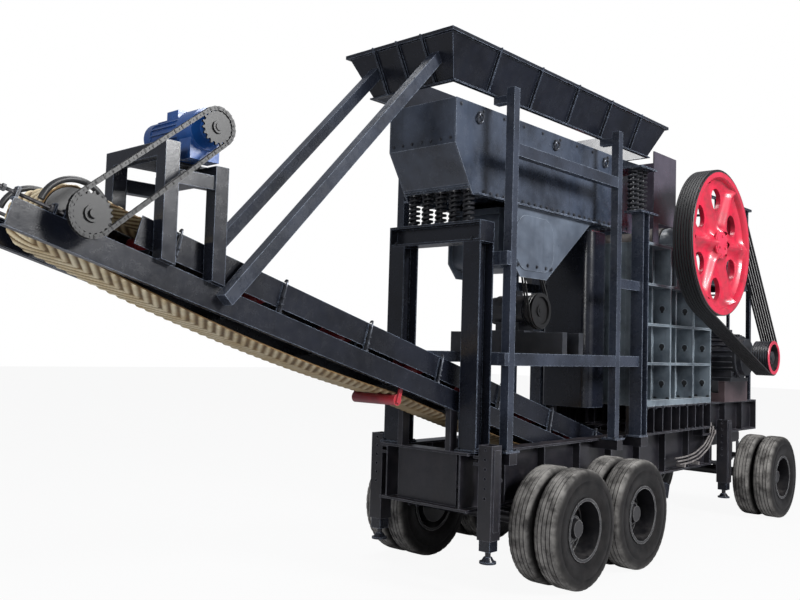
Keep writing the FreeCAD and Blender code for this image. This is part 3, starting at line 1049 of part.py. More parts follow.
def hulls():
    """Every node's shape by name."""
    nodes = {}
    nodes["chassis_frame"] = Part.makeCompound(chassis_frame())
    base = crusher_base()
    nodes["crusher_bed"] = Part.makeCompound(base)
    axles, springs, hangers = running_gear()
    nodes["rear_axles"] = Part.makeCompound(axles)
    nodes["rear_suspension"] = Part.makeCompound(springs + hangers)
    sleeves, legs = support_legs()
    nodes["leg_sleeves"] = Part.makeCompound(sleeves)
    for name, leg in legs.items():
        nodes["leg_" + name] = leg
    frame, front_hangers, front_springs, front_axle = dolly()
    nodes["bogie_frame"] = frame
    nodes["bogie_suspension"] = Part.makeCompound(front_hangers + front_springs)
    nodes["front_axle"] = front_axle
    for name, x, _ in WHEEL_SETS:
        for side, tag in ((-1, "near"), (1, "far")):
            tyres = [tyre(x, side * OUTER_TYRE_Y), tyre(x, side * INNER_TYRE_Y)]
            nodes["tyres_%s_%s" % (name, tag)] = Part.makeCompound(tyres)
            nodes["rims_%s_%s" % (name, tag)] = rim_set(x, side)
    nodes["feeder_gantry"] = Part.makeCompound(feeder_portal())
    nodes["hopper_posts"] = Part.makeCompound(hopper_posts())
    nodes["spring_columns"] = Part.makeCompound(spring_columns())
    nodes["feed_hopper"] = feed_hopper()
    nodes["feeder_trough"] = Part.makeCompound(feeder_trough())
    back, front = feeder_springs()
    nodes["feeder_springs"] = Part.makeCompound(back + front)
    nodes["exciter"] = exciter()
    nodes["exciter_pulley"] = join([grooved_pulley(EXCITER_X, EXCITER_Z, EXCITER_PULLEY_RADIUS, -340, -262, 30, 2),
                                    rod_y(EXCITER_X, EXCITER_Z, 31.7, -330, -200)])
    nodes["crusher_frame"] = Part.makeCompound(crusher_frame())
    fixed, pitman, plate, toggle = jaws()
    nodes["fixed_jaw"] = fixed
    nodes["swing_jaw"] = join([pitman, plate, toggle])
    nodes["flywheel_grooved"] = flywheel(-1, True)
    nodes["flywheel_plain"] = flywheel(1, False)
    nodes["main_shaft"] = main_shaft()
    nodes["drive_motor"] = drive_motor()
    nodes["motor_bed"] = motor_bed()
    nodes["service_deck"] = Part.makeCompound(platform() + ladder())
    nodes["cabinet"] = cabinet()
    nodes["crusher_hood"] = Part.makeCompound(crusher_hood())
    nodes["fines_chute"] = fines_chute()
    nodes["conveyor_frame"] = Part.makeCompound(conveyor_frame())
    rolls, returns = carrying_idlers()
    nodes["conveyor_rollers"] = Part.makeCompound(rolls + returns)
    nodes["conveyor_belt"] = conveyor_belt()
    nodes["skirt_boards"] = Part.makeCompound(skirt_boards())
    nodes["head_pulley"] = join([
        pulley_drum(0.0, HEAD_RADIUS, (CHAIN_Y - 40, CHANNEL_OUTER_Y + 20)),
        sprocket(HEAD_X, HEAD_Z, HEAD_SPROCKET_RADIUS, 21, CHAIN_Y - 8, CHAIN_Y + 8, 28)])
    nodes["tail_pulley"] = pulley_drum(CONVEYOR_LENGTH, TAIL_RADIUS, (-CHANNEL_OUTER_Y - 20, CHANNEL_OUTER_Y + 20))
    nodes["drive_stand"] = drive_stand()
    nodes["gear_motor"] = gear_motor()
    nodes["motor_sprocket"] = join([sprocket(UPPER_X, UPPER_Z, MOTOR_SPROCKET_RADIUS, 19, CHAIN_Y - 8, CHAIN_Y + 8, 20),
                                    rod_y(UPPER_X, UPPER_Z, 28, CHAIN_Y - 30, -310)])
    nodes["drive_chain"] = belt_loop(HEAD_X, HEAD_Z, HEAD_SPROCKET_RADIUS + TOOTH_TIP + RUNNING_GAP, UPPER_X, UPPER_Z,
                                     MOTOR_SPROCKET_RADIUS + TOOTH_TIP + RUNNING_GAP, 12.0, CHAIN_Y - 16, CHAIN_Y + 16)
    near = -FLYWHEEL_OUTER_Y
    nodes["motor_pulley"] = join([grooved_pulley(MOTOR_X, MOTOR_Z, MOTOR_PULLEY_RADIUS, near + 10, near + FLYWHEEL_WIDTH - 10, 40, 6),
                                  rod_y(MOTOR_X, MOTOR_Z, 45, near + 20, -600)])
    nodes["drive_belts"] = belt_loop(SHAFT_X, SHAFT_Z, FLYWHEEL_RADIUS + RUNNING_GAP, MOTOR_X, MOTOR_Z,
                                     MOTOR_PULLEY_RADIUS + RUNNING_GAP, BELT_THICK, near + 20, near + FLYWHEEL_WIDTH - 20)
    nodes["feeder_motor"] = Part.makeCompound(feeder_motor())
    nodes["feeder_motor_pulley"] = join([grooved_pulley(FEEDER_MOTOR_X, FEEDER_MOTOR_Z, FEEDER_PULLEY_RADIUS, -340, -262, 26, 2),
                                         rod_y(FEEDER_MOTOR_X, FEEDER_MOTOR_Z, 27.7, -335, -160)])
    nodes["feeder_belt"] = belt_loop(EXCITER_X, EXCITER_Z, EXCITER_PULLEY_RADIUS + RUNNING_GAP, FEEDER_MOTOR_X, FEEDER_MOTOR_Z,
                                     FEEDER_PULLEY_RADIUS + RUNNING_GAP, 12.0, -332, -270)
    nodes["conveyor_struts"] = Part.makeCompound(struts())
    return nodes


def feeder_motor():
    """The feeder's motor on a plate that lies on two cross arms between the side rails."""
    x, z = FEEDER_MOTOR_X, FEEDER_MOTOR_Z
    rail = RAIL_LOW_Z + RAIL_HEIGHT
    plate = z - 220
    body = join([rod_y(x, z, 165, -190, 190), rod_y(x, z, 140, -230, -190), rod_y(x, z, 150, 190, 260),
                 box(x - 150, x + 150, -150, 150, plate, z - 130), box(x - 60, x + 60, -60, 100, z + 120, z + 215)])
    body = body.cut(rod_y(x, z, 28, -240, -120))
    arms = [box(x - 200 + d, x - 120 + d, -POST_Y - 40, POST_Y + 40, rail, plate - 16) for d in (0, 320)]
    return [body, box(x - 200, x + 200, -260, 260, plate - 16, plate)] + arms


def export():
    """Writes one STEP file for each node, with the machine's middle over the origin."""
    os.makedirs("parts", exist_ok=True)
    rear = conveyor_point(-CHANNEL_OVERHANG, CHANNEL_TOP - CHANNEL_DEPTH)[0]
    middle = (rear + FRONT_AXLE_X + LUG_REACH) / 2
    print("middle", middle)
    for name, shape in hulls().items():
        placed = shape.copy()
        placed.translate(V(-middle, 0, 0))
        placed.exportStep("parts/%s.step" % name)
        box_ = placed.BoundBox
        print("%-22s solids %3d valid %s  x %.0f..%.0f y %.0f..%.0f z %.0f..%.0f" % (
            name, len(placed.Solids), placed.isValid(), box_.XMin, box_.XMax, box_.YMin, box_.YMax, box_.ZMin, box_.ZMax))


export()
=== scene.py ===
"""Dresses the wheeled jaw crushing plant: paints, rubber, springs, chain, belts, bolts and small fittings.

Places are given in the machine's own frame: metres, x from the rearmost axle towards the steered bogie,
y towards the plain flywheel, z up from the ground. Placing.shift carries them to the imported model's frame.
"""
from __future__ import annotations

import logging
import math
from dataclasses import dataclass, field
from enum import Enum
from typing import Callable, Optional, Sequence

import bpy
import numpy as np
from mathutils import Matrix, Vector

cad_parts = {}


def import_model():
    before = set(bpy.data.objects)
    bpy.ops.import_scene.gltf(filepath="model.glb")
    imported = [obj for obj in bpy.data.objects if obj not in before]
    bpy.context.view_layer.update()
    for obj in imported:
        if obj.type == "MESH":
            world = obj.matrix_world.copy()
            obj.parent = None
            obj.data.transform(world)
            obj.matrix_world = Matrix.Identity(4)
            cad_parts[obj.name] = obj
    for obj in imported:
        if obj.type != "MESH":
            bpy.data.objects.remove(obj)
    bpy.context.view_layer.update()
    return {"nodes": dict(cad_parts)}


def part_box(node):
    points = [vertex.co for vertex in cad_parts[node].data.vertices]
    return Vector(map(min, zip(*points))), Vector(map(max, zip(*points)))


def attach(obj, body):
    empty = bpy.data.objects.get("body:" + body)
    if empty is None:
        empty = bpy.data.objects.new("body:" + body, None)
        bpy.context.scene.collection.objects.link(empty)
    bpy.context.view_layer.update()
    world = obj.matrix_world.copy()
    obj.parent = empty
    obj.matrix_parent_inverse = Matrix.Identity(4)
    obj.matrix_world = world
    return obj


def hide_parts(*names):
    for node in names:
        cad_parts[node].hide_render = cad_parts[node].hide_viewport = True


LOG = logging.getLogger("crushing_plant")
Colour = tuple[float, float, float]
Point = tuple[float, float, float]
Outline = list[tuple[float, float]]
BoltRow = tuple[np.ndarray, Point, float]
TAU = 2.0 * math.pi

# Places shared by several assemblies: (x, z) of the shafts along y, and the wheel sets along x
FRONT_AXLE_X = 5.5
WHEEL_SETS = (("rear", 0.0), ("middle", 1.19), ("front", FRONT_AXLE_X))
SIDES = ((-1, "near"), (1, "far"))
MAIN_SHAFT = (3.23, 3.66)
MOTOR_SHAFT = (5.1, 2.26)
EXCITER_SHAFT = (0.19, 3.38)
FEEDER_MOTOR_SHAFT = (0.47, 2.69)
HEAD_SHAFT = (-4.78, 3.01)
GEAR_MOTOR_SHAFT = (-3.89, 3.73)
WHEEL_Z = 0.57
PLATE_Y = 0.5
GROOVE_PITCH = 0.033
GROOVE_COUNT = 7


class Body(Enum):
    """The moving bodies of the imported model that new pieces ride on."""

    PLANT = "plant"
    FLYWHEELS = "flywheels"
    MOTOR_PULLEY = "motor_pulley"


class Placing:
    """Carries the machine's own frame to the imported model's frame."""

    def __init__(self, axle_x: float) -> None:
        """Measures the shift from the front axle's packed box.

        Args:
            axle_x: The front axle's place along x in the machine's own frame.
        """
        low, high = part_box("front_axle")
        self.shift = (low.x + high.x) / 2.0 - axle_x

    def point(self, x: float, y: float, z: float) -> Point:
        """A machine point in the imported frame."""
        return (x + self.shift, y, z)

    def points(self, array: np.ndarray) -> np.ndarray:
        """Machine points, one a row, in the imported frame."""
        return array + np.array([self.shift, 0.0, 0.0])


# Meshes

def line(x: object, y: object, z: object) -> np.ndarray:
    """Points of a row, one each, from numbers or arrays that stretch to the longest."""
    return np.stack(np.broadcast_arrays(*(np.asarray(part, float) for part in (x, y, z))), -1).reshape(-1,
                                                                                                       3)


def circle(x: float, y: float, z: float, radius: float, angles: np.ndarray) -> np.ndarray:
    """Points at the given angles on a circle about an axis along y."""
    return line(x + radius * np.cos(angles), y, z + radius * np.sin(angles))


def evenly(count: int) -> np.ndarray:
    """Angles that share out a full turn."""
    return np.arange(count) * TAU / count


def grooves(first_y: float, radius: float, half: float, foot: float, deep: float) -> Outline:
    """The outline of the drive's V grooves in a rim, as offsets and radii.

    Args:
        first_y: The first groove's middle.
        radius: The rim's radius.
        half: Half a groove's width at the rim.
        foot: Half its width at the foot.
        deep: Its depth.

    Returns:
        Two corners at the rim and two at the foot for each groove.
    """
    outline = []
    for y in (first_y + i * GROOVE_PITCH for i in range(GROOVE_COUNT)):
        outline += [(y - half, radius), (y - foot, radius - deep), (y + foot, radius - deep),
                    (y + half, radius)]
    return outline


BLOCK_FACES = np.array([[0, 1, 3, 2], [4, 6, 7, 5], [0, 4, 5, 1], [2, 3, 7, 6], [0, 2, 6, 4], [1, 5, 7, 3]])


class Shell:
    """Gathers grids, blocks and prisms as arrays and turns them into one mesh object."""

    def __init__(self, name: str) -> None:
        """Starts an empty shell.

        Args:
            name: The piece's name.
        """
        self.name = name
        self.verts: list[np.ndarray] = []
        self.faces: list[list[tuple[int, ...]]] = []
        self.marks: list[np.ndarray] = []
        self.count = 0

    def add(self, verts: np.ndarray, faces: np.ndarray, mark: Optional[np.ndarray] = None) -> None:
        """Adds points and the faces that index them.

        Args:
            verts: Points, n by 3.
            faces: Corner indices, one face a row.
            mark: One value a point for the material's mark attribute, or nothing for 0.
        """
        flat = np.asarray(verts, float).reshape(-1, 3)
        self.verts.append(flat)
        self.faces.append((np.asarray(faces) + self.count).tolist())
        self.marks.append(np.zeros(len(flat)) if mark is None else np.asarray(mark, float).ravel())
        self.count += len(flat)

    def grid(self, surface: np.ndarray, wrap_rows: bool = False, wrap_columns: bool = False,
             mark: Optional[np.ndarray] = None, flip: bool = False) -> None:
        """Adds a surface given as a grid of points: each cell of neighbours is one face.

        Args:
            surface: Points, rows by columns by 3.
            wrap_rows: Joins the last row to the first.
            wrap_columns: Joins the last column to the first.
            mark: One value a point, rows by columns.
            flip: Turns the faces round.
        """
        rows, columns = surface.shape[:2]
        r = np.arange(rows if wrap_rows else rows - 1)[:, None]
        c = np.arange(columns if wrap_columns else columns - 1)[None, :]
        r1, c1 = (r + 1) % rows, (c + 1) % columns
        quads = np.stack([r * columns + c, r1 * columns + c, r1 * columns + c1, r * columns + c1],
                         -1).reshape(-1, 4)
        self.add(surface, quads[:, ::-1] if flip else quads, mark)

    def blocks(self, lows: np.ndarray, highs: np.ndarray) -> None:
        """Adds upright blocks between pairs of corners.

        Args:
            lows: Low corners, n by 3.
            highs: High corners, n by 3.
        """
        lows, highs = np.atleast_2d(lows), np.atleast_2d(highs)
        pick = np.array([[i, j, k] for i in (0, 1) for j in (0, 1) for k in (0, 1)])
        verts = lows[:, None, :] + (highs - lows)[:, None, :] * pick[None]
        faces = (np.arange(len(lows))[:, None, None] * 8 + BLOCK_FACES[None]).reshape(-1, 4)
        self.add(verts.reshape(-1, 3), faces)

    def prisms(self, starts: np.ndarray, axes: np.ndarray, radius: float, height: float,
               sides: int = 6) -> None:
        """Adds straight-sided prisms: a ring of corners round each start, carried along its axis.

        Args:
            starts: Foot centres, n by 3.
            axes: Unit directions, n by 3 or one for all.
            radius: Corner radius at the foot.
            height: Length along the axis.
            sides: Corners round the ring.
        """
        starts = np.atleast_2d(np.asarray(starts, float))
        axes = np.broadcast_to(np.asarray(axes, float), starts.shape)
        side = np.where(np.abs(axes[:, 2:3]) < 0.9, np.array([[0.0, 0.0, 1.0]]),
                        np.array([[1.0, 0.0, 0.0]]))
        u = np.cross(side, axes)
        u /= np.linalg.norm(u, axis=1, keepdims=True)
        v = np.cross(axes, u)
        a = evenly(sides)
        ring = (np.cos(a)[None, :, None] * u[:, None, :] + np.sin(a)[None, :, None] * v[:, None,
                                                                                        :]) * radius
        foot = starts[:, None, :] + ring
        head = foot + axes[:, None, :] * height
        verts = np.concatenate([foot, head], 1)
        i = np.arange(sides)
        j = (i + 1) % sides
        walls = np.stack([i, j, j + sides, i + sides], -1)
        base = np.arange(len(starts)) * 2 * sides
        self.add(verts.reshape(-1, 3), (base[:, None, None] + walls[None]).reshape(-1, 4))
        self.count -= len(verts.reshape(-1, 3))
        self.faces.append((base[:, None] + np.arange(sides)[None, ::-1] + self.count).tolist())
        self.faces.append((base[:, None] + sides + np.arange(sides)[None, :] + self.count).tolist())
        self.count += len(verts.reshape(-1, 3))

    def turned(self, profile: np.ndarray, centre: Point, segments: int = 64,
               wave: Optional[Callable[[np.ndarray, np.ndarray], np.ndarray]] = None,
               mark: Optional[np.ndarray] = None) -> None:
        """Turns a closed profile of (offset along y, radius) about the y axis through a centre.

        Args:
            profile: Offsets and radii, n by 2, anticlockwise seen with y to the right.
            centre: The axis' middle.
            segments: Steps round the axis.
            wave: Adds wave(angle, column) to the radius.
            mark: One value a profile point.
        """
        a = np.arange(segments)[:, None] * TAU / segments
        radius = np.broadcast_to(profile[None, :, 1], (segments, len(profile)))
        if wave is not None:
            radius = radius + wave(a, np.arange(len(profile))[None, :])
        surface = np.stack([centre[0] + radius * np.cos(a),
                            centre[1] + np.broadcast_to(profile[None, :, 0], radius.shape),
                            centre[2] + radius * np.sin(a)], -1)
        marks = None if mark is None else np.broadcast_to(mark[None, :], radius.shape)
        self.grid(surface, wrap_rows=True, wrap_columns=True, mark=marks)

    def tube(self, path: np.ndarray, radius: float, sides: int = 8, closed: bool = False) -> None:
        """Carries a circle along a path, kept square to it, with its ends capped.

        Args:
            path: Points, n by 3.
            radius: The circle's radius.
            sides: Corners round it.
            closed: Joins the end to the start.
        """
        path = np.asarray(path, float)
        along = np.gradient(path, axis=0) if not closed else np.roll(path, -1, 0) - np.roll(path, 1, 0)
        along /= np.linalg.norm(along, axis=1, keepdims=True)
        seed = np.array([0.13, 0.21, 0.97])
        u = np.cross(along, np.broadcast_to(seed, along.shape))
        u /= np.linalg.norm(u, axis=1, keepdims=True)
        v = np.cross(along, u)
        a = evenly(sides)
        ring = np.cos(a)[None, :, None] * u[:, None] + np.sin(a)[None, :, None] * v[:, None]
        start = self.count
        self.grid(path[:, None] + ring * radius, wrap_rows=closed, wrap_columns=True, flip=True)
        if not closed:
            last = start + (len(path) - 1) * sides
            self.faces.append([[start + i for i in range(sides)]])
            self.faces.append([[last + i for i in reversed(range(sides))]])

    def build(self, finish: "Finish", place: Placing, body: Body | str, smooth: float = 35.0,
              replaced: Sequence[str] = ()) -> bpy.types.Object:
        """Makes the mesh object, dresses it and hangs it on its body.

        Args:
            finish: The material to put on.
            place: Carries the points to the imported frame.
            body: The body that it rides on.
            smooth: Edges sharper than this angle, in degrees, stay sharp.
            replaced: The nodes that it stands for.

        Returns:
            The finished object.
        """
        verts = place.points(np.concatenate(self.verts))
        mesh = bpy.data.meshes.new(self.name)
        mesh.from_pydata(verts.tolist(), [], [face for group in self.faces for face in group])
        attribute = mesh.attributes.new("mark", "FLOAT", "POINT")
        attribute.data.foreach_set("value", np.concatenate(self.marks).astype(np.float32))
        mesh.shade_smooth()
        mesh.set_sharp_from_angle(angle=math.radians(smooth))
        mesh.materials.append(finish.material())
        piece = bpy.data.objects.new(self.name, mesh)
        bpy.context.scene.collection.objects.link(piece)
        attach(piece, body.value if isinstance(body, Body) else body)
        if replaced:
            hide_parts(*replaced)
        LOG.info("%s: %d faces", self.name, len(mesh.polygons))
        return piece


# Finishes

class NodeBook:
    """Short names for adding and joining shader nodes in one tree."""

    def __init__(self, tree: bpy.types.NodeTree) -> None:
        """Opens a tree.

        Args:
            tree: The node tree to write in.
        """
        self.tree = tree

    def node(self, kind: str, inputs: Optional[dict] = None, **settings: object) -> bpy.types.Node:
        """Adds a node, sets its options, and sets or links its inputs.

        Args:
            kind: The node's type name.
            inputs: Input name or index to a value or an output socket.
            settings: Options of the node itself.

        Returns:
            The new node.
        """
        made = self.tree.nodes.new(kind)
        for key, value in settings.items():
            setattr(made, key, value)
        self.feed(made, inputs or {})
        return made

    def feed(self, node: bpy.types.Node, inputs: dict) -> None:
        """Sets a node's inputs, and links those whose value is an output socket.

        Args:
            node: The node.
            inputs: Input name or index to a value or an output socket.
        """
        for key, value in inputs.items():
            if isinstance(value, bpy.types.NodeSocket):
                self.tree.links.new(value, node.inputs[key])
            else:
                node.inputs[key].default_value = value

    def noise(self, place: object, scale: object, detail: float,
              roughness: float = 0.5) -> bpy.types.NodeSocket:
        """Cloudy noise from 0 to 1 over the given place."""
        inputs = {"Vector": place, "Scale": scale, "Detail": detail, "Roughness": roughness}
        return self.node("ShaderNodeTexNoise", inputs).outputs[0]

    def math(self, operation: str, a: object, b: object = 0.0, clamp: bool = False) -> bpy.types.NodeSocket:
        """The output of one arithmetic step on two values or sockets."""
        return self.node("ShaderNodeMath", {0: a, 1: b}, operation=operation, use_clamp=clamp).outputs[0]

    def mix(self, factor: object, a: object, b: object) -> bpy.types.NodeSocket:
        """A colour between a and b by a factor."""
        return self.node("ShaderNodeMix", {0: factor, 6: a, 7: b}, data_type="RGBA").outputs[2]

    def band(self, value: object, low: float, high: float) -> bpy.types.NodeSocket:
        """0 below low, 1 above high and a smooth step between."""
        made = self.node("ShaderNodeMapRange", {0: value, 1: low, 2: high, 3: 0.0, 4: 1.0},
                         interpolation_type="SMOOTHSTEP")
        return made.outputs[0]


def rgba(colour: Colour) -> tuple[float, float, float, float]:
    """A colour with full alpha."""
    return (colour[0], colour[1], colour[2], 1.0)


class Effects:
    """Shader node groups shared by the finishes, each made once."""

    made: dict[str, bpy.types.NodeTree] = {}

    @classmethod
    def start(cls, name: str, inputs: Sequence[tuple[str, str, object]], outputs: Sequence[tuple[str, str]]
              ) -> tuple[NodeBook, bpy.types.Node, bpy.types.Node]:
        """Opens a new group with named sockets.

        Args:
            name: The group's name.
            inputs: Name, kind and default value of each input.
            outputs: Name and kind of each output.

        Returns:
            The book of its tree, its input node and its output node.
        """
        tree = bpy.data.node_groups.new(name, "ShaderNodeTree")
        for label, kind, value in inputs:
            socket = tree.interface.new_socket(label, in_out="INPUT", socket_type=kind)
            socket.default_value = value
        for label, kind in outputs:
            tree.interface.new_socket(label, in_out="OUTPUT", socket_type=kind)
        book = NodeBook(tree)
        cls.made[name] = tree
        return book, book.node("NodeGroupInput"), book.node("NodeGroupOutput")

    @classmethod
    def weather_and_edge_highlights(cls) -> bpy.types.NodeTree:
        """Painted plate out of doors: broad tone changes, painted highlights along the edges, and dust on
        faces that look up.

        Returns:
            The group: Colour, Rough and Height from the paint's own colours and amounts.
        """
        if "weathered_plate_edge_highlights" in cls.made:
            return cls.made["weathered_plate_edge_highlights"]
        colour, value = "NodeSocketColor", "NodeSocketFloat"
        book, given, result = cls.start("weathered_plate_edge_highlights",
                                        (("Base", colour, (0.03, 0.03, 0.04, 1)),
                                         ("Shade", colour, (0.02, 0.02, 0.02, 1)),
                                         ("Edge", colour, (0.2, 0.22, 0.25, 1)),
                                         ("Dust", colour, (0.3, 0.27, 0.24, 1)),
                                         ("Edge Highlight Amount", value, 0.5), ("Dust Amount", value, 0.3),
                                         ("Roughness", value, 0.4)),
                                        (("Colour", colour), ("Rough", value), ("Height", value)))
        place = book.node("ShaderNodeTexCoord").outputs["Object"]
        broad = book.noise(place, 1.7, 5.0, 0.6)
        grime = book.noise(place, 9.0, 6.0, 0.7)
        fine = book.noise(place, 85.0, 3.0)
        streak_place = book.node("ShaderNodeMapping",
                                 {"Vector": place, "Scale": (22.0, 22.0, 1.3)}).outputs[0]
        streak = book.noise(streak_place, 1.0, 4.0)
        tone = book.mix(book.band(broad, 0.35, 0.68), given.outputs["Base"], given.outputs["Shade"])
        tone = book.mix(book.math("MULTIPLY", book.band(streak, 0.55, 0.75), 0.35), tone,
                        given.outputs["Shade"])
        # Painted highlight: where the bevelled normal turns from the true one, the edge colour is mixed in,
        # patchy by the grime noise, in place of light caught by the edges.
        bevel = book.node("ShaderNodeBevel", {"Radius": 0.008}, samples=4).outputs[0]
        normal = book.node("ShaderNodeNewGeometry").outputs["Normal"]
        turned = book.node("ShaderNodeVectorMath", {0: bevel, 1: normal},
                           operation="DOT_PRODUCT").outputs["Value"]
        edge_highlight_mask = book.band(book.math("SUBTRACT", 1.0, turned), 0.01, 0.22)
        edge_highlight_mask = book.math("MULTIPLY", edge_highlight_mask,
                           book.math("ADD", 0.45, book.math("MULTIPLY", 0.55, book.band(grime, 0.38, 0.6))))
        tone = book.mix(book.math("MULTIPLY", edge_highlight_mask, given.outputs["Edge Highlight Amount"]), tone,
                        given.outputs["Edge"])
        up = book.node("ShaderNodeSeparateXYZ", {0: normal}).outputs[2]
        lying = book.math("ADD", book.band(up, 0.2, 0.95), 0.16)
        dust = book.math("MULTIPLY", book.math("MULTIPLY", lying, book.band(grime, 0.36, 0.72)),
                         given.outputs["Dust Amount"], clamp=True)
        tone = book.mix(dust, tone, given.outputs["Dust"])
        rough = book.math("ADD", given.outputs["Roughness"], book.math("MULTIPLY", dust, 0.35))
        rough = book.math("ADD", rough, book.math("MULTIPLY", book.math("SUBTRACT", grime, 0.5), 0.25),
                          clamp=True)
        book.tree.links.new(tone, result.inputs["Colour"])
        book.tree.links.new(rough, result.inputs["Rough"])
        book.tree.links.new(book.math("ADD", fine, book.math("MULTIPLY", grime, 2.0)),
                            result.inputs["Height"])
        return book.tree

    @classmethod
    def grit(cls) -> bpy.types.NodeTree:
        """Rubber or worn metal: a fine grain over a slow change between two colours.

        Returns:
            The group: Colour and Height from two colours and a scale.
        """
        if "gritty_surface" in cls.made:
            return cls.made["gritty_surface"]
        colour, value = "NodeSocketColor", "NodeSocketFloat"
        book, given, result = cls.start("gritty_surface",
                                        (("First", colour, (0, 0, 0, 1)),
                                         ("Second", colour, (0.1, 0.1, 0.1, 1)), ("Scale", value, 20.0)),
                                        (("Colour", colour), ("Height", value)))
        place = book.node("ShaderNodeTexCoord").outputs["Object"]
        slow = book.noise(place, given.outputs["Scale"], 6.0, 0.65)
        grain = book.noise(place, 260.0, 2.0)
        book.tree.links.new(book.mix(book.band(slow, 0.34, 0.68), given.outputs["First"],
                                     given.outputs["Second"]), result.inputs["Colour"])
        book.tree.links.new(book.math("ADD", grain, slow), result.inputs["Height"])
        return book.tree


class Finish:
    """A named surface finish that makes its material once."""

    name: str
    slot: Optional[str]

    def material(self) -> bpy.types.Material:
        """The finish's material, made on first use."""
        known = bpy.data.materials.get(self.name)
        if known is not None:
            return known
        made = bpy.data.materials.new(self.name)
        made.use_nodes = True
        made.node_tree.nodes.clear()
        book = NodeBook(made.node_tree)
        shader = book.node("ShaderNodeBsdfPrincipled")
        book.node("ShaderNodeOutputMaterial", {"Surface": shader.outputs[0]})
        self.fill(book, shader)
        return made

    def fill(self, book: NodeBook, shader: bpy.types.Node) -> None:
        """Writes the nodes that feed the shader.

        Args:
            book: The material's tree.
            shader: Its Principled node.
        """
        raise NotImplementedError

    @staticmethod
    def bump(book: NodeBook, shader: bpy.types.Node, height: object, distance: float,
             strength: float = 0.35) -> None:
        """Feeds a height to the shader's normal.

        Args:
            book: The material's tree.
            shader: Its Principled node.
            height: The height's socket.
            distance: The height of 1, in metres.
            strength: The bump's strength.
        """
        made = book.node("ShaderNodeBump", {"Height": height, "Distance": distance, "Strength": strength})
        book.tree.links.new(made.outputs[0], shader.inputs["Normal"])


@dataclass(frozen=True)
class Paint(Finish):
    """Weathered paint on steel plate, with painted highlights along its edges."""

    name: str
    base: Colour
    shade: Colour
    # edge: the colour of the painted highlight along edges; the edge amount below sets its strength.
    edge: Colour = (0.16, 0.19, 0.24)
    dust: Colour = (0.20, 0.17, 0.17)
    edge_highlight_amount: float = 0.6
    dust_amount: float = 0.3
    roughness: float = 0.34
    slot: Optional[str] = None
    coat: float = 0.15

    def fill(self, book: NodeBook, shader: bpy.types.Node) -> None:
        """Feeds the weathered plate's colour, painted edge highlights included, and its roughness and height
        to the shader.
        """
        plate = book.node("ShaderNodeGroup", node_tree=Effects.weather_and_edge_highlights())
        book.feed(plate,
                  {"Base": rgba(self.base), "Shade": rgba(self.shade), "Edge": rgba(self.edge),
                   "Dust": rgba(self.dust), "Edge Highlight Amount": self.edge_highlight_amount,
                   "Dust Amount": self.dust_amount, "Roughness": self.roughness})
        book.feed(shader,
                  {"Base Color": plate.outputs["Colour"], "Roughness": plate.outputs["Rough"],
                   "Coat Weight": self.coat, "Coat Roughness": 0.25})
        self.bump(book, shader, plate.outputs["Height"], 0.0012)


@dataclass(frozen=True)
class Grit(Finish):
    """Rubber, cast iron or bare steel with a grain."""

    name: str
    first: Colour
    second: Colour
    scale: float = 12.0
    roughness: float = 0.7
    metallic: float = 0.0
    grain: float = 0.0008
    slot: Optional[str] = None

    def fill(self, book: NodeBook, shader: bpy.types.Node) -> None:
        """Feeds the grit's colour and height to the shader."""
        grit = self.group(book)
        book.feed(shader,
                  {"Base Color": grit.outputs["Colour"], "Roughness": self.roughness,
                   "Metallic": self.metallic})
        self.bump(book, shader, grit.outputs["Height"], self.grain)

    def group(self, book: NodeBook) -> bpy.types.Node:
        """The gritty surface with this finish's colours and scale."""
        inputs = {"First": rgba(self.first), "Second": rgba(self.second), "Scale": self.scale}
        return book.node("ShaderNodeGroup", inputs, node_tree=Effects.grit())


@dataclass(frozen=True)
class MarkedGrit(Finish):
    """Grit in one pair of colours where the mesh's mark is 0 and in another where it is 1."""

    name: str
    plain: Grit
    marked: Grit
    slot: Optional[str] = None
    specular: float = 0.5

    def fill(self, book: NodeBook, shader: bpy.types.Node) -> None:
        """Mixes the two grits by the mark attribute."""
        mark = book.node("ShaderNodeAttribute", attribute_name="mark").outputs["Fac"]
        plain, marked = self.plain.group(book), self.marked.group(book)
        low, high = self.plain.roughness, self.marked.roughness
        book.feed(shader,
                  {"Base Color": book.mix(mark, plain.outputs["Colour"], marked.outputs["Colour"]),
                   "Specular IOR Level": self.specular,
                   "Roughness": book.math("ADD", low, book.math("MULTIPLY", mark, high - low))})
        self.bump(book, shader, plain.outputs["Height"], self.plain.grain)


@dataclass(frozen=True)
class WheelPaint(Finish):
    """Flywheel paint: red inside a radius, dark iron on the rim outside it, about a y axis."""

    name: str
    centre: Point
    split: float
    red: Colour = (0.54, 0.013, 0.045)
    dark: Colour = (0.010, 0.010, 0.012)
    slot: Optional[str] = "flywheel_paint"

    def fill(self, book: NodeBook, shader: bpy.types.Node) -> None:
        """Splits red web from dark rim by the distance from the shaft's axis, and dusts both."""
        place = book.node("ShaderNodeTexCoord").outputs["Object"]
        centred = book.node("ShaderNodeMapping",
                            {"Vector": place, "Location": (-self.centre[0], 0.0, -self.centre[2]),
                             "Scale": (1.0, 0.0, 1.0)}).outputs[0]
        radius = book.node("ShaderNodeVectorMath", {0: centred}, operation="LENGTH").outputs["Value"]
        rim = book.band(radius, self.split - 0.004, self.split + 0.004)
        noise = book.noise(place, 5.0, 7.0, 0.7)
        faded = tuple(min(1.0, c * 0.5 + 0.01) for c in self.red)
        red = book.mix(book.band(noise, 0.38, 0.72), rgba(self.red), rgba(faded))
        dark = book.mix(book.band(noise, 0.4, 0.7), rgba(self.dark), rgba((0.030, 0.029, 0.032)))
        book.tree.links.new(book.mix(rim, red, dark), shader.inputs["Base Color"])
        shader.inputs["Roughness"].default_value = 0.38
        shader.inputs["Coat Weight"].default_value = 0.2
        self.bump(book, shader, noise, 0.002)
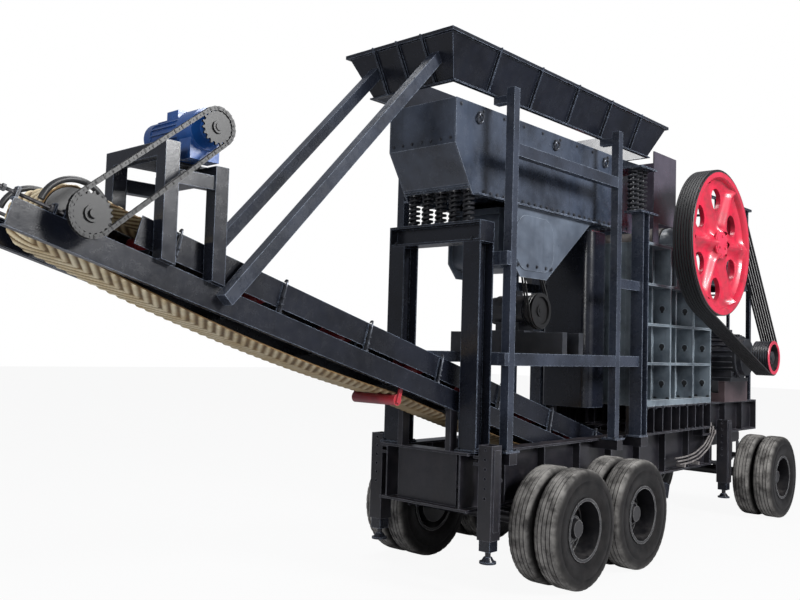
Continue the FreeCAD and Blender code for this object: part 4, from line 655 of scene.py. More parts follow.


# Each paint's edge colour is a painted highlight along its edges.
FRAME = Paint("frame_black", (0.0075, 0.0092, 0.0155), (0.0032, 0.0038, 0.0065), edge=(0.30, 0.36, 0.47),
              edge_highlight_amount=0.8, dust=(0.060, 0.064, 0.080), dust_amount=0.13, roughness=0.25,
              slot="frame_paint")
# Painted highlight: a lighter, bluer copy of the frame's black paint on the posts, spring columns and
# struts, in place of the key lamp's light on their faces.
POSTS_PAINTED_HIGHLIGHT = Paint("post_black_painted_highlight", (0.030, 0.037, 0.055), (0.012, 0.015, 0.023), edge=(0.36, 0.42, 0.52),
              edge_highlight_amount=0.8, dust=(0.09, 0.095, 0.115), dust_amount=0.15, roughness=0.27,
              slot="frame_paint")
CHASSIS = Paint("chassis_dusty_black", (0.010, 0.010, 0.014), (0.0045, 0.0045, 0.0065),
                edge=(0.26, 0.27, 0.32), edge_highlight_amount=0.7, dust=(0.115, 0.088, 0.092), dust_amount=0.42,
                roughness=0.34, slot="frame_paint")
NECK = Paint("front_frame_umber", (0.060, 0.040, 0.044), (0.030, 0.020, 0.023), edge=(0.34, 0.28, 0.29),
             edge_highlight_amount=0.7, dust=(0.17, 0.13, 0.135), dust_amount=0.5, roughness=0.42, slot="frame_paint")
FEEDER = Paint("feeder_slate", (0.042, 0.054, 0.080), (0.011, 0.015, 0.024), edge=(0.42, 0.48, 0.58),
               edge_highlight_amount=0.85, dust=(0.14, 0.15, 0.18), dust_amount=0.28, roughness=0.25,
               slot="feeder_paint", coat=0.4)
EXCITER = Paint("exciter_grey_blue", (0.105, 0.128, 0.165), (0.045, 0.056, 0.076), edge=(0.42, 0.48, 0.56),
                edge_highlight_amount=0.8, dust=(0.22, 0.23, 0.26), dust_amount=0.3, roughness=0.32,
                slot="feeder_paint")
CRUSHER = Paint("crusher_slate", (0.150, 0.185, 0.215), (0.040, 0.052, 0.066), edge=(0.62, 0.70, 0.76),
                edge_highlight_amount=0.95, dust=(0.40, 0.42, 0.43), dust_amount=0.55, roughness=0.36,
                slot="feeder_paint")
GUARD = Paint("guard_purple_grey", (0.060, 0.050, 0.070), (0.026, 0.021, 0.032), edge=(0.28, 0.27, 0.32),
              edge_highlight_amount=0.7, dust=(0.16, 0.14, 0.17), dust_amount=0.3, roughness=0.22, coat=0.5,
              slot="feeder_paint")
MOTOR = Paint("motor_dark", (0.016, 0.018, 0.024), (0.007, 0.008, 0.010), edge=(0.22, 0.24, 0.28),
              dust=(0.14, 0.125, 0.12), dust_amount=0.4, roughness=0.38, slot="motor_paint")
GEAR = Paint("gear_motor_blue", (0.010, 0.078, 0.30), (0.005, 0.035, 0.15), edge=(0.3, 0.45, 0.7),
             edge_highlight_amount=0.4, dust=(0.2, 0.22, 0.28), dust_amount=0.15, roughness=0.26, coat=0.5,
             slot="gear_paint")
ROLLER_RED = Paint("roller_red", (0.36, 0.018, 0.030), (0.13, 0.010, 0.016), edge=(0.5, 0.2, 0.2),
                   dust_amount=0.15)
PULLEY_BLACK = Paint("pulley_black", (0.012, 0.012, 0.014), (0.006, 0.006, 0.007), roughness=0.4,
                     slot="flywheel_paint")
PULLEY_RED = Paint("pulley_red", (0.62, 0.025, 0.07), (0.40, 0.018, 0.045), edge=(0.7, 0.3, 0.3),
                   dust_amount=0.15, slot="flywheel_paint")
RIM = Paint("rim_black", (0.009, 0.009, 0.011), (0.0045, 0.0045, 0.006), edge=(0.42, 0.42, 0.42),
            edge_highlight_amount=0.95, dust=(0.13, 0.12, 0.115), dust_amount=0.35, roughness=0.36, slot="rim_paint")
STEEL = Grit("worn_steel", (0.16, 0.16, 0.17), (0.06, 0.055, 0.055), 14.0, 0.42, 0.85, slot="steel")
OILED = Grit("oiled_chain_steel", (0.0085, 0.0085, 0.009), (0.0035, 0.0035, 0.004), 30.0, 0.42, 0.0,
             slot="steel")
SPRING = Grit("spring_black", (0.012, 0.013, 0.016), (0.030, 0.031, 0.036), 20.0, 0.34, 0.25, slot="steel")
IRON = Grit("cast_manganese", (0.12, 0.11, 0.105), (0.05, 0.045, 0.042), 9.0, 0.55, 0.75, slot="iron")
BOLT = Grit("bolt_zinc", (0.10, 0.11, 0.13), (0.030, 0.030, 0.036), 40.0, 0.36, 0.7, slot="steel")
V_BELT = Grit("v_belt_black", (0.0065, 0.0065, 0.0075), (0.013, 0.013, 0.0145), 25.0, 0.58,
              slot="belt_rubber")
HOSE = Grit("hose_grey", (0.20, 0.185, 0.18), (0.09, 0.08, 0.08), 12.0, 0.5)
CABLE_BLACK = Grit("cable_black", (0.010, 0.010, 0.011), (0.020, 0.020, 0.022), 18.0, 0.45)
# Brown rubber where the mark is 0, cream where it is 1; the mark's low values in the rib gaps and under the
# plant are painted shade.
BELT = MarkedGrit("ribbed_belt", Grit("", (0.155, 0.085, 0.022), (0.075, 0.040, 0.012), 6.0, 0.78),
                  Grit("", (0.74, 0.66, 0.47), (0.56, 0.44, 0.25), 5.0, 0.66), slot="belt_rubber")
# Dark rubber where the mark is 0 and pale dusty tread where it is 1; the grooves' low mark is painted shade.
TYRE = MarkedGrit("tyre_rubber_dust_and_groove_shade",
                  Grit("", (0.0065, 0.0063, 0.0065), (0.014, 0.013, 0.013), 9.0, 0.42, grain=0.0006),
                  Grit("", (0.27, 0.26, 0.245), (0.055, 0.052, 0.05), 6.0, 0.85), slot="tyre_rubber",
                  specular=0.12)


# Running gear

@dataclass
class Assembly:
    """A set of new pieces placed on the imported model."""

    place: Placing

    def build(self) -> None:
        """Makes the pieces."""
        raise NotImplementedError


@dataclass
class TyreSet(Assembly):
    """The twelve tyres: ribbed treads, rounded shoulders, ringed side walls."""

    radius: float = 0.57
    width: float = 0.25
    bead_radius: float = 0.2875
    outer_y: float = 1.075
    pitch: float = 0.285
    grooves: tuple[float, ...] = (-0.066, -0.023, 0.023, 0.066)
    groove_depth: float = 0.013
    groove_half: float = 0.0055
    segments: int = 160

    def profile(self) -> tuple[np.ndarray, np.ndarray]:
        """The tyre's section: half a round-shouldered bulge mirrored, with square grooves cut in the tread.

        Returns:
            The outline as (offset, radius) rows, and each point's mark: dust on the shoulders and the
            tread's tops, painted shade in the grooves.
        """
        w, r = self.width / 2, self.radius
        wall = [(0.098, self.bead_radius), (0.1, self.bead_radius + 0.022), (0.109, 0.325), (0.117, 0.352),
                (0.1185, 0.356), (0.1185, 0.362), (0.1205, 0.366), (w, 0.42), (w, 0.455),
                (w - 0.0022, 0.46), (w - 0.0022, 0.468), (w, 0.473), (w - 0.002, 0.507), (w - 0.006, 0.533),
                (w - 0.013, 0.551), (w - 0.024, 0.562), (w - 0.038, 0.5672)]
        dust = [0.0] * 11 + [0.0, 0.03, 0.10, 0.3, 0.6, 0.9]
        tread, tread_dust_and_groove_shade = [], []
        for g in self.grooves:
            for share, deep in ((-1.0, False), (-0.6, True), (0.6, True), (1.0, False)):
                y = g + share * self.groove_half
                tread.append((y, r - 0.0006 * (y / 0.09) ** 2 - (self.groove_depth if deep else 0.0)))
                # Painted shade: the groove floors take only 0.12 of the pale tread colour.
                tread_dust_and_groove_shade.append(0.12 if deep else 1.0)
        outline = np.array(wall + tread[::-1] + [(-y, z) for y, z in wall[::-1]])
        marks = np.array(dust + tread_dust_and_groove_shade[::-1] + dust[::-1])
        return outline, marks

    def wave(self, angle: np.ndarray, column: np.ndarray) -> np.ndarray:
        """Shallow cuts across the shoulders: every fourth step of the turn dips the shoulder's columns."""
        count = len(self.profile()[0])
        shoulder = (np.isin(column, (14, 15, 16)) | np.isin(column, (count - 15, count - 16, count - 17)))
        step = np.round(angle / TAU * self.segments).astype(int)
        return np.where(shoulder & (step % 4 == 0), -0.005, 0.0)

    def build(self) -> None:
        """Makes the six pairs of twin tyres."""
        outline, marks = self.profile()
        for axle, x in WHEEL_SETS:
            for side, tag in SIDES:
                shell = Shell(f"ribbed_tyres_{axle}_{tag}")
                for y in (self.outer_y, self.outer_y - self.pitch):
                    shell.turned(outline, (x, side * y, self.radius), self.segments, self.wave, marks)
                shell.build(TYRE, self.place, f"wheels_{axle}_{tag}", 40.0, (f"tyres_{axle}_{tag}",))


@dataclass
class WheelFittings(Assembly):
    """Wheel nuts and hub bolts on the outer faces of the wheels."""

    nut_y: float = 0.945
    nut_size: float = 0.024
    stud_circle: float = 0.15
    studs: int = 10
    hub_y: float = 1.0605
    hub_circle: float = 0.092
    hub_bolts: int = 8

    def build(self) -> None:
        """Adds the nuts over the studs of each wheel pair."""
        a = np.radians(18.0 + np.arange(self.studs) * 36.0)
        for axle, x in WHEEL_SETS:
            for side, tag in SIDES:
                shell = Shell(f"wheel_nuts_{axle}_{tag}")
                shell.prisms(circle(x, side * self.nut_y, WHEEL_Z, self.stud_circle, a), (0, side, 0),
                             self.nut_size, self.nut_size)
                shell.prisms(circle(x, side * self.hub_y, WHEEL_Z, self.hub_circle, evenly(self.hub_bolts)),
                             (0, side, 0), 0.011, 0.012)
                shell.build(BOLT, self.place, f"wheels_{axle}_{tag}")


# Drives

@dataclass
class LoopPath:
    """A closed line round two wheels: two arcs and the two straight runs that touch them."""

    x1: float
    z1: float
    r1: float
    x2: float
    z2: float
    r2: float

    def sample(self, count: int) -> tuple[np.ndarray, np.ndarray, float]:
        """Evenly spaced points of the loop and their outward directions.

        Args:
            count: How many points.

        Returns:
            Points (x, z), outward unit directions (x, z), and the loop's length.
        """
        dx, dz = self.x2 - self.x1, self.z2 - self.z1
        span = math.hypot(dx, dz)
        base, lean = math.atan2(dz, dx), math.acos((self.r1 - self.r2) / span)
        run = math.sqrt(span ** 2 - (self.r1 - self.r2) ** 2)
        far_arc, near_arc = 2 * lean * self.r2, (TAU - 2 * lean) * self.r1
        total = 2 * run + far_arc + near_arc
        s = np.arange(count) * total / count
        top = base + lean
        low = base - lean
        tops = np.array([math.cos(top), math.sin(top)])
        lows = np.array([math.cos(low), math.sin(low)])
        c1, c2 = np.array([self.x1, self.z1]), np.array([self.x2, self.z2])
        t = np.clip(s / run, 0, 1)[:, None]
        first = (c1 + tops * self.r1) * (1 - t) + (c2 + tops * self.r2) * t
        a = top - np.clip(s - run, 0, far_arc) / self.r2
        second_dir = np.stack([np.cos(a), np.sin(a)], -1)
        t = np.clip((s - run - far_arc) / run, 0, 1)[:, None]
        third = (c2 + lows * self.r2) * (1 - t) + (c1 + lows * self.r1) * t
        b = low - np.clip(s - 2 * run - far_arc, 0, near_arc) / self.r1
        fourth_dir = np.stack([np.cos(b), np.sin(b)], -1)
        part = np.digitize(s, [run, run + far_arc, 2 * run + far_arc])[:, None]
        points = np.select([part == 0, part == 1, part == 2], [first, c2 + second_dir * self.r2, third],
                           c1 + fourth_dir * self.r1)
        outward = np.select([part == 0, part == 1, part == 2],
                            [np.broadcast_to(tops, points.shape), second_dir,
                             np.broadcast_to(lows, points.shape)], fourth_dir)
        return points, outward, total


@dataclass
class VBelts(Assembly):
    """The crusher's seven V belts and the two of the feeder, each a trapezium carried round its loop."""

    flywheel_radius: float = 0.9003
    pulley_radius: float = 0.2303
    first_y: float = -1.1685
    count: int = 7
    half: float = 0.0135
    thick: float = 0.021
    exciter_radius: float = 0.1103
    feeder_radius: float = 0.1903
    feeder_y: tuple[float, float] = (-0.3166, -0.2854)
    feeder_size: float = 0.011

    def band(self, shell: Shell, path: LoopPath, y: float, half: float, thick: float, steps: int) -> None:
        """Adds one belt: a trapezium, narrow inside, carried round the loop.

        Args:
            shell: The shell to add to.
            path: The loop.
            y: The belt's middle.
            half: Half its width outside.
            thick: Its thickness.
            steps: Points round the loop.
        """
        points, outward, _ = path.sample(steps)
        section = np.array([[-half * 0.7, 0.0], [-half, thick * 0.8], [-half * 0.9, thick],
                            [half * 0.9, thick], [half, thick * 0.8], [half * 0.7, 0.0]])
        xz = points[:, None, :] + outward[:, None, :] * section[None, :, 1:2]
        ys = np.broadcast_to(y + section[None, :, 0], xz.shape[:2])
        shell.grid(np.stack([xz[..., 0], ys, xz[..., 1]], -1), wrap_rows=True, wrap_columns=True)

    def build(self) -> None:
        """Makes both drives' belts."""
        shell = Shell("crusher_v_belts")
        path = LoopPath(*MAIN_SHAFT, self.flywheel_radius, *MOTOR_SHAFT, self.pulley_radius)
        for i in range(self.count):
            self.band(shell, path, self.first_y + i * GROOVE_PITCH, self.half, self.thick, 220)
        shell.build(V_BELT, self.place, Body.PLANT, 30.0, ("drive_belts",))
        small = Shell("feeder_v_belts")
        loop = LoopPath(*EXCITER_SHAFT, self.exciter_radius, *FEEDER_MOTOR_SHAFT, self.feeder_radius)
        for y in self.feeder_y:
            self.band(small, loop, y, self.feeder_size, self.feeder_size, 96)
        small.build(V_BELT, self.place, Body.PLANT, 30.0, ("feeder_belt",))


@dataclass
class MotorPulley(Assembly):
    """The motor's pulley: seven grooves in a red-edged rim, a dished web and a bolted hub."""

    x: float = MOTOR_SHAFT[0]
    z: float = MOTOR_SHAFT[1]
    radius: float = 0.23
    first_y: float = -1.1685

    def build(self) -> None:
        """Turns the rim, web and hub."""
        outline = [(-1.187, 0.196), (-1.187, self.radius + 0.004)]
        outline += grooves(self.first_y, self.radius, 0.0135, 0.0085, 0.014)
        outline += [(-0.955, self.radius), (-0.955, 0.196), (-1.05, 0.19), (-1.05, 0.09), (-0.98, 0.088),
                    (-0.98, 0.04), (-1.165, 0.04), (-1.165, 0.088), (-1.09, 0.095), (-1.09, 0.185)]
        shell = Shell("seven_groove_pulley")
        shell.turned(np.array(outline)[::-1], (self.x, 0.0, self.z), 96)
        shell.prisms(np.array([self.x, -1.176, self.z]), (0, 1, 0), 0.045, 0.57, 24)
        shell.prisms(circle(self.x, -1.165, self.z, 0.066, evenly(6)), (0, -1, 0), 0.009, 0.008)
        shell.build(PULLEY_BLACK, self.place, Body.MOTOR_PULLEY, 30.0, ("motor_pulley",))
        lip = Shell("pulley_lip")
        ring = [(-1.1945, 0.190), (-1.1945, 0.230), (-1.189, 0.2355), (-1.183, 0.2355), (-1.183, 0.190)]
        lip.turned(np.array(ring)[::-1], (self.x, 0.0, self.z), 96)
        lip.build(PULLEY_RED, self.place, Body.MOTOR_PULLEY, 30.0)


@dataclass
class RollerChain(Assembly):
    """The conveyor's drive chain: paired eight-cornered plates and rollers, one link a pitch."""

    path: LoopPath = field(default_factory=lambda: LoopPath(*HEAD_SHAFT, 0.1425, *GEAR_MOTOR_SHAFT, 0.1295))
    y: float = -0.5
    links: int = 92
    plate_half: float = 0.0135
    plate_thick: float = 0.004
    plate_high: float = 0.0145

    def build(self) -> None:
        """Lays the links round the loop."""
        points, _, length = self.path.sample(self.links)
        pitch = length / self.links
        along = np.roll(points, -1, 0) - points
        along /= np.linalg.norm(along, axis=1, keepdims=True)
        middle = (points + np.roll(points, -1, 0)) / 2
        square = np.stack([-along[:, 1], along[:, 0]], -1)
        a = np.arange(8) * TAU / 8 + TAU / 16
        reach = pitch / 2 + 0.004
        lobe = np.stack([np.sign(np.cos(a)) * reach + np.cos(a) * 0.008,
                         np.sin(a) * self.plate_high * 1.05], -1)
        shell = Shell("roller_chain")
        spread = np.where(np.arange(self.links) % 2 == 0, 1.0, 0.72)
        rows = np.arange(self.links)[:, None]
        corners = np.arange(8)
        after = (corners + 1) % 8
        plate = middle[:, None] + along[:, None] * lobe[None, :, 0:1] + square[:, None] * lobe[None, :, 1:]
        for side in (-1, 1):
            faces = []
            for far in (0, 1):
                offset = side * (self.plate_half * spread + far * self.plate_thick)
                ys = np.broadcast_to(self.y + offset[:, None], plate.shape[:2])
                faces.append(np.stack([plate[..., 0], ys, plate[..., 1]], -1))
                turned = (side > 0) == (far == 1)
                shell.add(faces[-1].reshape(-1, 3), rows * 8 + (corners[::-1] if turned else corners))
            quads = (corners, corners + 8, after + 8, after)
            walls = np.stack(quads if side > 0 else (quads[0], quads[3], quads[2], quads[1]), -1)
            shell.add(np.concatenate(faces, 1), (rows[:, None] * 16 + walls[None]).reshape(-1, 4))
        pins = line(points[:, 0], self.y - 0.021, points[:, 1])
        shell.prisms(pins, (0, 1, 0), 0.0065, 0.042, 8)
        shell.prisms(pins + np.array([0.0, 0.0125, 0.0]), (0, 1, 0), 0.0105, 0.017, 10)
        shell.build(OILED, self.place, Body.PLANT, 30.0, ("drive_chain",))


# Feeder springs

@dataclass
class CoilSprings(Assembly):
    """The feeder's springs: a round wire wound as a helix between two caps."""

    coil_radius: float = 0.046
    wire: float = 0.0155
    rear_x: float = -0.85
    rear_y: tuple[float, ...] = (-0.344, -0.172, 0.0, 0.172, 0.344)
    rear_span: tuple[float, float] = (3.47, 3.79)
    rear_turns: float = 6.5
    front_x: tuple[float, ...] = (1.915, 2.04, 2.165)
    front_y: float = 0.635
    front_span: tuple[float, float] = (3.93, 4.44)
    front_turns: float = 9.0
    cap: float = 0.016
    cap_radius: float = 0.064

    def spring(self, shell: Shell, x: float, y: float, low: float, high: float, turns: float) -> None:
        """Adds one helix, its height growing with angle except over the end half turns, and its two caps.

        Args:
            shell: The shell to add to.
            x: The axis' place along x.
            y: The axis' place along y.
            low: Its foot.
            high: Its top.
            turns: Turns of wire.
        """
        t = np.linspace(0.0, 1.0, int(turns * 14))
        ease = 0.5 / turns
        climb = np.clip((t - ease) / (1 - 2 * ease), 0.0, 1.0)
        a = t * turns * TAU
        z = low + self.cap + self.wire + climb * (high - low - 2 * self.cap - 2 * self.wire)
        path = np.stack([x + self.coil_radius * np.cos(a), y + self.coil_radius * np.sin(a), z], -1)
        shell.tube(path, self.wire, 7)
        for foot in (low, high - self.cap):
            shell.prisms(np.array([x, y, foot]), (0, 0, 1), self.cap_radius, self.cap, 20)
        shell.prisms(np.array([x, y, low]), (0, 0, 1), 0.02, high - low, 10)

    def build(self) -> None:
        """Winds the rear row and the front sets."""
        shell = Shell("wound_springs")
        for y in self.rear_y:
            self.spring(shell, self.rear_x, y, *self.rear_span, self.rear_turns)
        for x in self.front_x:
            for side in (-1, 1):
                self.spring(shell, x, side * self.front_y, *self.front_span, self.front_turns)
        shell.build(SPRING, self.place, Body.PLANT, 40.0, ("feeder_springs",))


# Conveyor

@dataclass
class Slope:
    """The conveyor's own frame: u down the belt from the head pulley, y across, w square to the belt."""

    head_x: float = HEAD_SHAFT[0]
    head_z: float = HEAD_SHAFT[1]
    angle: float = math.radians(16.0)

    def carry(self, u: np.ndarray, y: np.ndarray, w: np.ndarray) -> np.ndarray:
        """Points of the conveyor's frame in the machine's frame: a turn about y and a move to the head."""
        u, y, w = np.broadcast_arrays(np.asarray(u, float), np.asarray(y, float), np.asarray(w, float))
        c, s = math.cos(self.angle), math.sin(self.angle)
        return np.stack([self.head_x + u * c + w * s, y, self.head_z - u * s + w * c], -1)


@dataclass
class RibbedBelt(Assembly):
    """The conveyor's belt: troughed on top, slack below, with slanting ribs on its outer face."""

    slope: Slope = field(default_factory=Slope)
    length: float = 8.5
    half: float = 0.245
    thick: float = 0.009
    head: float = 0.19
    tail: float = 0.16
    carry_w: float = 0.11
    trough_start: float = 1.5
    trough: float = math.radians(20.0)
    flat: float = 0.088
    rib_pitch: float = 0.082
    rib_high: float = 0.013
    lean: float = 0.75

    def centreline(self) -> tuple[np.ndarray, np.ndarray, np.ndarray, np.ndarray]:
        """The inner face's middle line as (u, w), its outward direction, its length and the trough's share.

        Returns:
            Points (u, w), outward directions (u, w), distances and trough shares, head arc first.
        """
        step = self.rib_pitch / 12
        arc = np.linspace(math.pi / 2, 3 * math.pi / 2, int(math.pi * self.head / step))
        head = np.stack([self.head * np.cos(arc), self.head * np.sin(arc)], -1)
        stops = ((0.0, -self.head), (3.3, -0.262), (5.9, -0.262), (self.length, -self.tail))
        sags = (0.07, 0.02, 0.025)
        runs = []
        for (u0, w0), (u1, w1), sag in zip(stops, stops[1:], sags):
            t = np.linspace(0.0, 1.0, int((u1 - u0) / step))[1:-1]
            runs.append(np.stack([u0 + (u1 - u0) * t, w0 + (w1 - w0) * t - 4 * sag * t * (1 - t)], -1))
        arc = np.linspace(-math.pi / 2, math.pi / 2, int(math.pi * self.tail / step))
        tail = np.stack([self.length + self.tail * np.cos(arc), self.tail * np.sin(arc)], -1)
        u = np.linspace(self.length, 0.0, int(self.length / step))[1:-1]
        w = np.interp(u, [0.0, self.trough_start, self.length - self.trough_start, self.length],
                      [self.head, self.carry_w, self.carry_w, self.tail])
        sag = 0.004 * np.sin(math.pi * (u - 0.7)) ** 2
        carry = np.stack([u, w + np.where((u > 0.7) & (u < 7.7), -sag, 0.0)], -1)
        points = np.concatenate([head, *runs, tail, carry])
        share = np.concatenate([np.zeros(len(points) - len(carry)),
                                np.clip(np.minimum(u, self.length - u) / self.trough_start, 0.0, 1.0)])
        along = np.roll(points, -1, 0) - np.roll(points, 1, 0)
        along /= np.linalg.norm(along, axis=1, keepdims=True)
        outward = np.stack([along[:, 1], -along[:, 0]], -1)
        distance = np.concatenate([[0.0], np.cumsum(np.linalg.norm(np.diff(points, axis=0), axis=1))])
        return points, outward, distance, share

    def build(self) -> None:
        """Carries the section round its line: wings tilt by the trough's share, and ribs lean with |y|."""
        points, outward, distance, share = self.centreline()
        across = np.linspace(-self.half, self.half, 25)
        wing = np.clip(np.abs(across) - self.flat, 0.0, None)
        lift = share[:, None] * math.sin(self.trough) * wing[None, :]
        draw = share[:, None] * (1 - math.cos(self.trough)) * wing[None, :]
        y = across[None, :] - np.sign(across)[None, :] * draw
        phase = (distance[:, None] + self.lean * np.abs(across)[None, :]) / self.rib_pitch
        ridge = np.clip(0.45 + 1.1 * np.sin(TAU * phase), 0.0, 1.0)
        edge = np.clip((self.half - np.abs(across)) / 0.02, 0.0, 1.0)[None, :]
        shell = Shell("ribbed_conveyor_belt")
        # Painted shade: the ribs' cream fades to 0.35 from the head down to where the belt runs under the
        # plant, and the gaps between the ribs keep only 0.04 of it.
        pale = np.clip(1.0 - (points[:, 0:1] - 0.5) / 4.5, 0.35, 1.0) * np.ones_like(ridge)
        faces = []
        outside = self.thick + self.rib_high * ridge * edge
        for height, flip in ((outside, False), (np.zeros_like(ridge), True)):
            u = points[:, 0:1] + outward[:, 0:1] * height
            w = points[:, 1:2] + outward[:, 1:2] * height + lift
            faces.append(self.slope.carry(u, y, w))
            shell.grid(faces[-1], wrap_rows=True, mark=np.clip(pale * (0.04 + 0.96 * ridge), 0, 1),
                       flip=not flip)
        for column, flip in ((0, False), (-1, True)):
            strip = np.stack([faces[0][:, column], faces[1][:, column]], 1)
            shell.grid(strip, wrap_rows=True, flip=flip)
        shell.build(BELT, self.place, Body.PLANT, 50.0, ("conveyor_belt",))


@dataclass
class ConveyorFittings(Assembly):
    """Clamps of the side boards, and take-up rods with their brackets at the head."""

    slope: Slope = field(default_factory=Slope)
    line_y: float = 0.302

    def clamps(self) -> None:
        """J-shaped clamps on small posts, one a metre on each side."""
        shell = Shell("side_board_clamps")
        for u in np.arange(0.75, 8.0, 1.0):
            for side in (-1, 1):
                t = np.linspace(0.0, 1.0, 24)
                a = np.clip(t * 2 - 0.6, 0, 1) * math.pi
                rise = -0.05 + 0.26 * np.clip(t * 2.2, 0, 1) + 0.016 * np.sin(a)
                hook = self.slope.carry(u, side * (self.line_y - 0.016 * (1 - np.cos(a))), rise)
                shell.tube(hook, 0.0085, 8)
                for w in (-0.044, 0.02, 0.075):
                    foot = self.slope.carry(u, side * self.line_y, w)
                    shell.prisms(foot, (math.sin(self.slope.angle), 0, math.cos(self.slope.angle)), 0.017,
                                 0.013)
        shell.build(BOLT, self.place, Body.PLANT)

    def take_up_rods(self) -> None:
        """Threaded rods beside the head pulley's bearings: rings of a fine saw profile make the thread."""
        shell = Shell("take_up_rods")
        c, s = math.cos(self.slope.angle), math.sin(self.slope.angle)
        for side in (-1, 1):
            count = 240
            t = np.linspace(0.0, 1.0, count)
            u = -0.62 + 0.56 * t
            radius = 0.0105 + 0.0022 * (np.arange(count) % 2)
            a = np.arange(10) * TAU / 10
            y = side * self.line_y + radius[:, None] * np.cos(a)[None, :]
            w = -0.018 + radius[:, None] * np.sin(a)[None, :]
            start = shell.count
            shell.grid(self.slope.carry(np.broadcast_to(u[:, None], y.shape), y, w), wrap_columns=True,
                       flip=False)
            shell.faces.append([[start + i for i in reversed(range(10))]])
            shell.faces.append([[start + (count - 1) * 10 + i for i in range(10)]])
            for u0 in (-0.475, -0.4, -0.17):
                shell.prisms(self.slope.carry(u0, side * self.line_y, -0.018), (c, 0, -s), 0.024, 0.02)
        shell.build(STEEL, self.place, Body.PLANT, 50.0)

    def brackets(self) -> None:
        """Plates at the head that the take-up rods pass through."""
        shell = Shell("take_up_brackets")
        for side in (-1, 1):
            for ends in ((-0.395, -0.375), (-0.15, -0.135)):
                plate = self.slope.carry(np.array(ends)[:, None, None],
                                         np.array([side * 0.275, side * 0.328])[None, :, None],
                                         np.array([-0.05, 0.02])[None, None, :])
                shell.add(plate.reshape(8, 3), BLOCK_FACES if side > 0 else BLOCK_FACES[:, ::-1])
        shell.build(FRAME, self.place, Body.PLANT)

    def build(self) -> None:
        """Makes the clamps, rods and brackets."""
        self.clamps()
        self.take_up_rods()
        self.brackets()


# Bolts and small fittings

@dataclass
class BoltRows(Assembly):
    """Hexagon heads on washers in the rows that the plates show."""

    feeder_y: float = 0.42
    ledge_z: float = 3.775
    top_edge_z: float = 4.56
    cover_y: float = 0.432
    rib_y: float = 0.72
    deck_z: float = 1.316
    post_x: tuple[float, float] = (-0.636, 1.431)
    gantry_x: tuple[float, float] = (-0.96, -0.74)
    washer: float = 1.5
    washer_high: float = 0.003

    def feeder_rows(self, side: int) -> list[BoltRow]:
        """Rows on one side of the feeder: feet of the bolts, their direction and the heads' radius."""
        out = (0, side, 0)
        return [(line(np.arange(-0.72, 2.25, 0.112), side * self.feeder_y, self.ledge_z), out, 0.016),
                (line(np.arange(-1.1, 2.3, 0.35), side * self.feeder_y, self.top_edge_z), out, 0.013),
                (line([-0.12, 0.05, 0.22, 0.39, 0.50], side * self.cover_y, 3.13), out, 0.014)]

    def crusher_rows(self, side: int) -> list[BoltRow]:
        """Rows on one side of the crusher: foot flange, panels and bearing housing."""
        out = (0, side, 0)
        rows = [(line([2.2, 2.42, 2.62, 2.98, 3.3, 3.65, 3.88], side * self.rib_y, 1.622), out, 0.015)]
        rows += [(line([2.19, 2.28, 2.38, 2.9, 3.4, 3.56, 3.95], side * (PLATE_Y + 0.001), z), out,
                  0.017) for z in (2.36, 2.82, 3.25)]
        rows += [(line(x, side * self.rib_y, z), out, 0.024) for x in (2.99, 3.47) for z in (3.3, 3.5)]
        return rows

    def deck_rows(self, side: int) -> list[BoltRow]:
        """Rows on the chassis: feet of posts, crusher bed and gantry."""
        up, out, wide = (0, 0, 1), (0, side, 0), side * np.array([0.63, 0.63, 0.75, 0.75])
        rows = [(line([x - 0.085, x + 0.085] * 2, wide, self.deck_z), up, 0.015) for x in self.post_x]
        rows += [(line([x, x], side * np.array([0.52, 0.69]), self.deck_z + 0.006), up,
                  0.014) for x in np.arange(2.2, 4.0, 0.225)]
        rows.append((line(self.gantry_x, side * 0.475, 3.30), out, 0.014))
        corners = [self.gantry_x[0] - 0.01, self.gantry_x[1] + 0.01] * 2
        rows.append((line(corners, side * np.array([0.375, 0.375, 0.575, 0.575]), self.deck_z + 0.004), up,
                     0.015))
        return rows

    def build(self) -> None:
        """Sets a washer and a head at each place."""
        rows: list[BoltRow] = []
        for side in (-1, 1):
            rows += self.feeder_rows(side) + self.crusher_rows(side) + self.deck_rows(side)
        rows.append((line(-1.1701, np.arange(-0.36, 0.4, 0.12), 4.23), (-1, 0, 0), 0.012))
        shell = Shell("plate_bolts")
        for feet, axis, radius in rows:
            shell.prisms(feet, axis, radius * self.washer, self.washer_high, 12)
            shell.prisms(feet + np.array(axis) * self.washer_high, axis, radius, radius * 0.75, 6)
        shell.build(BOLT, self.place, Body.PLANT)


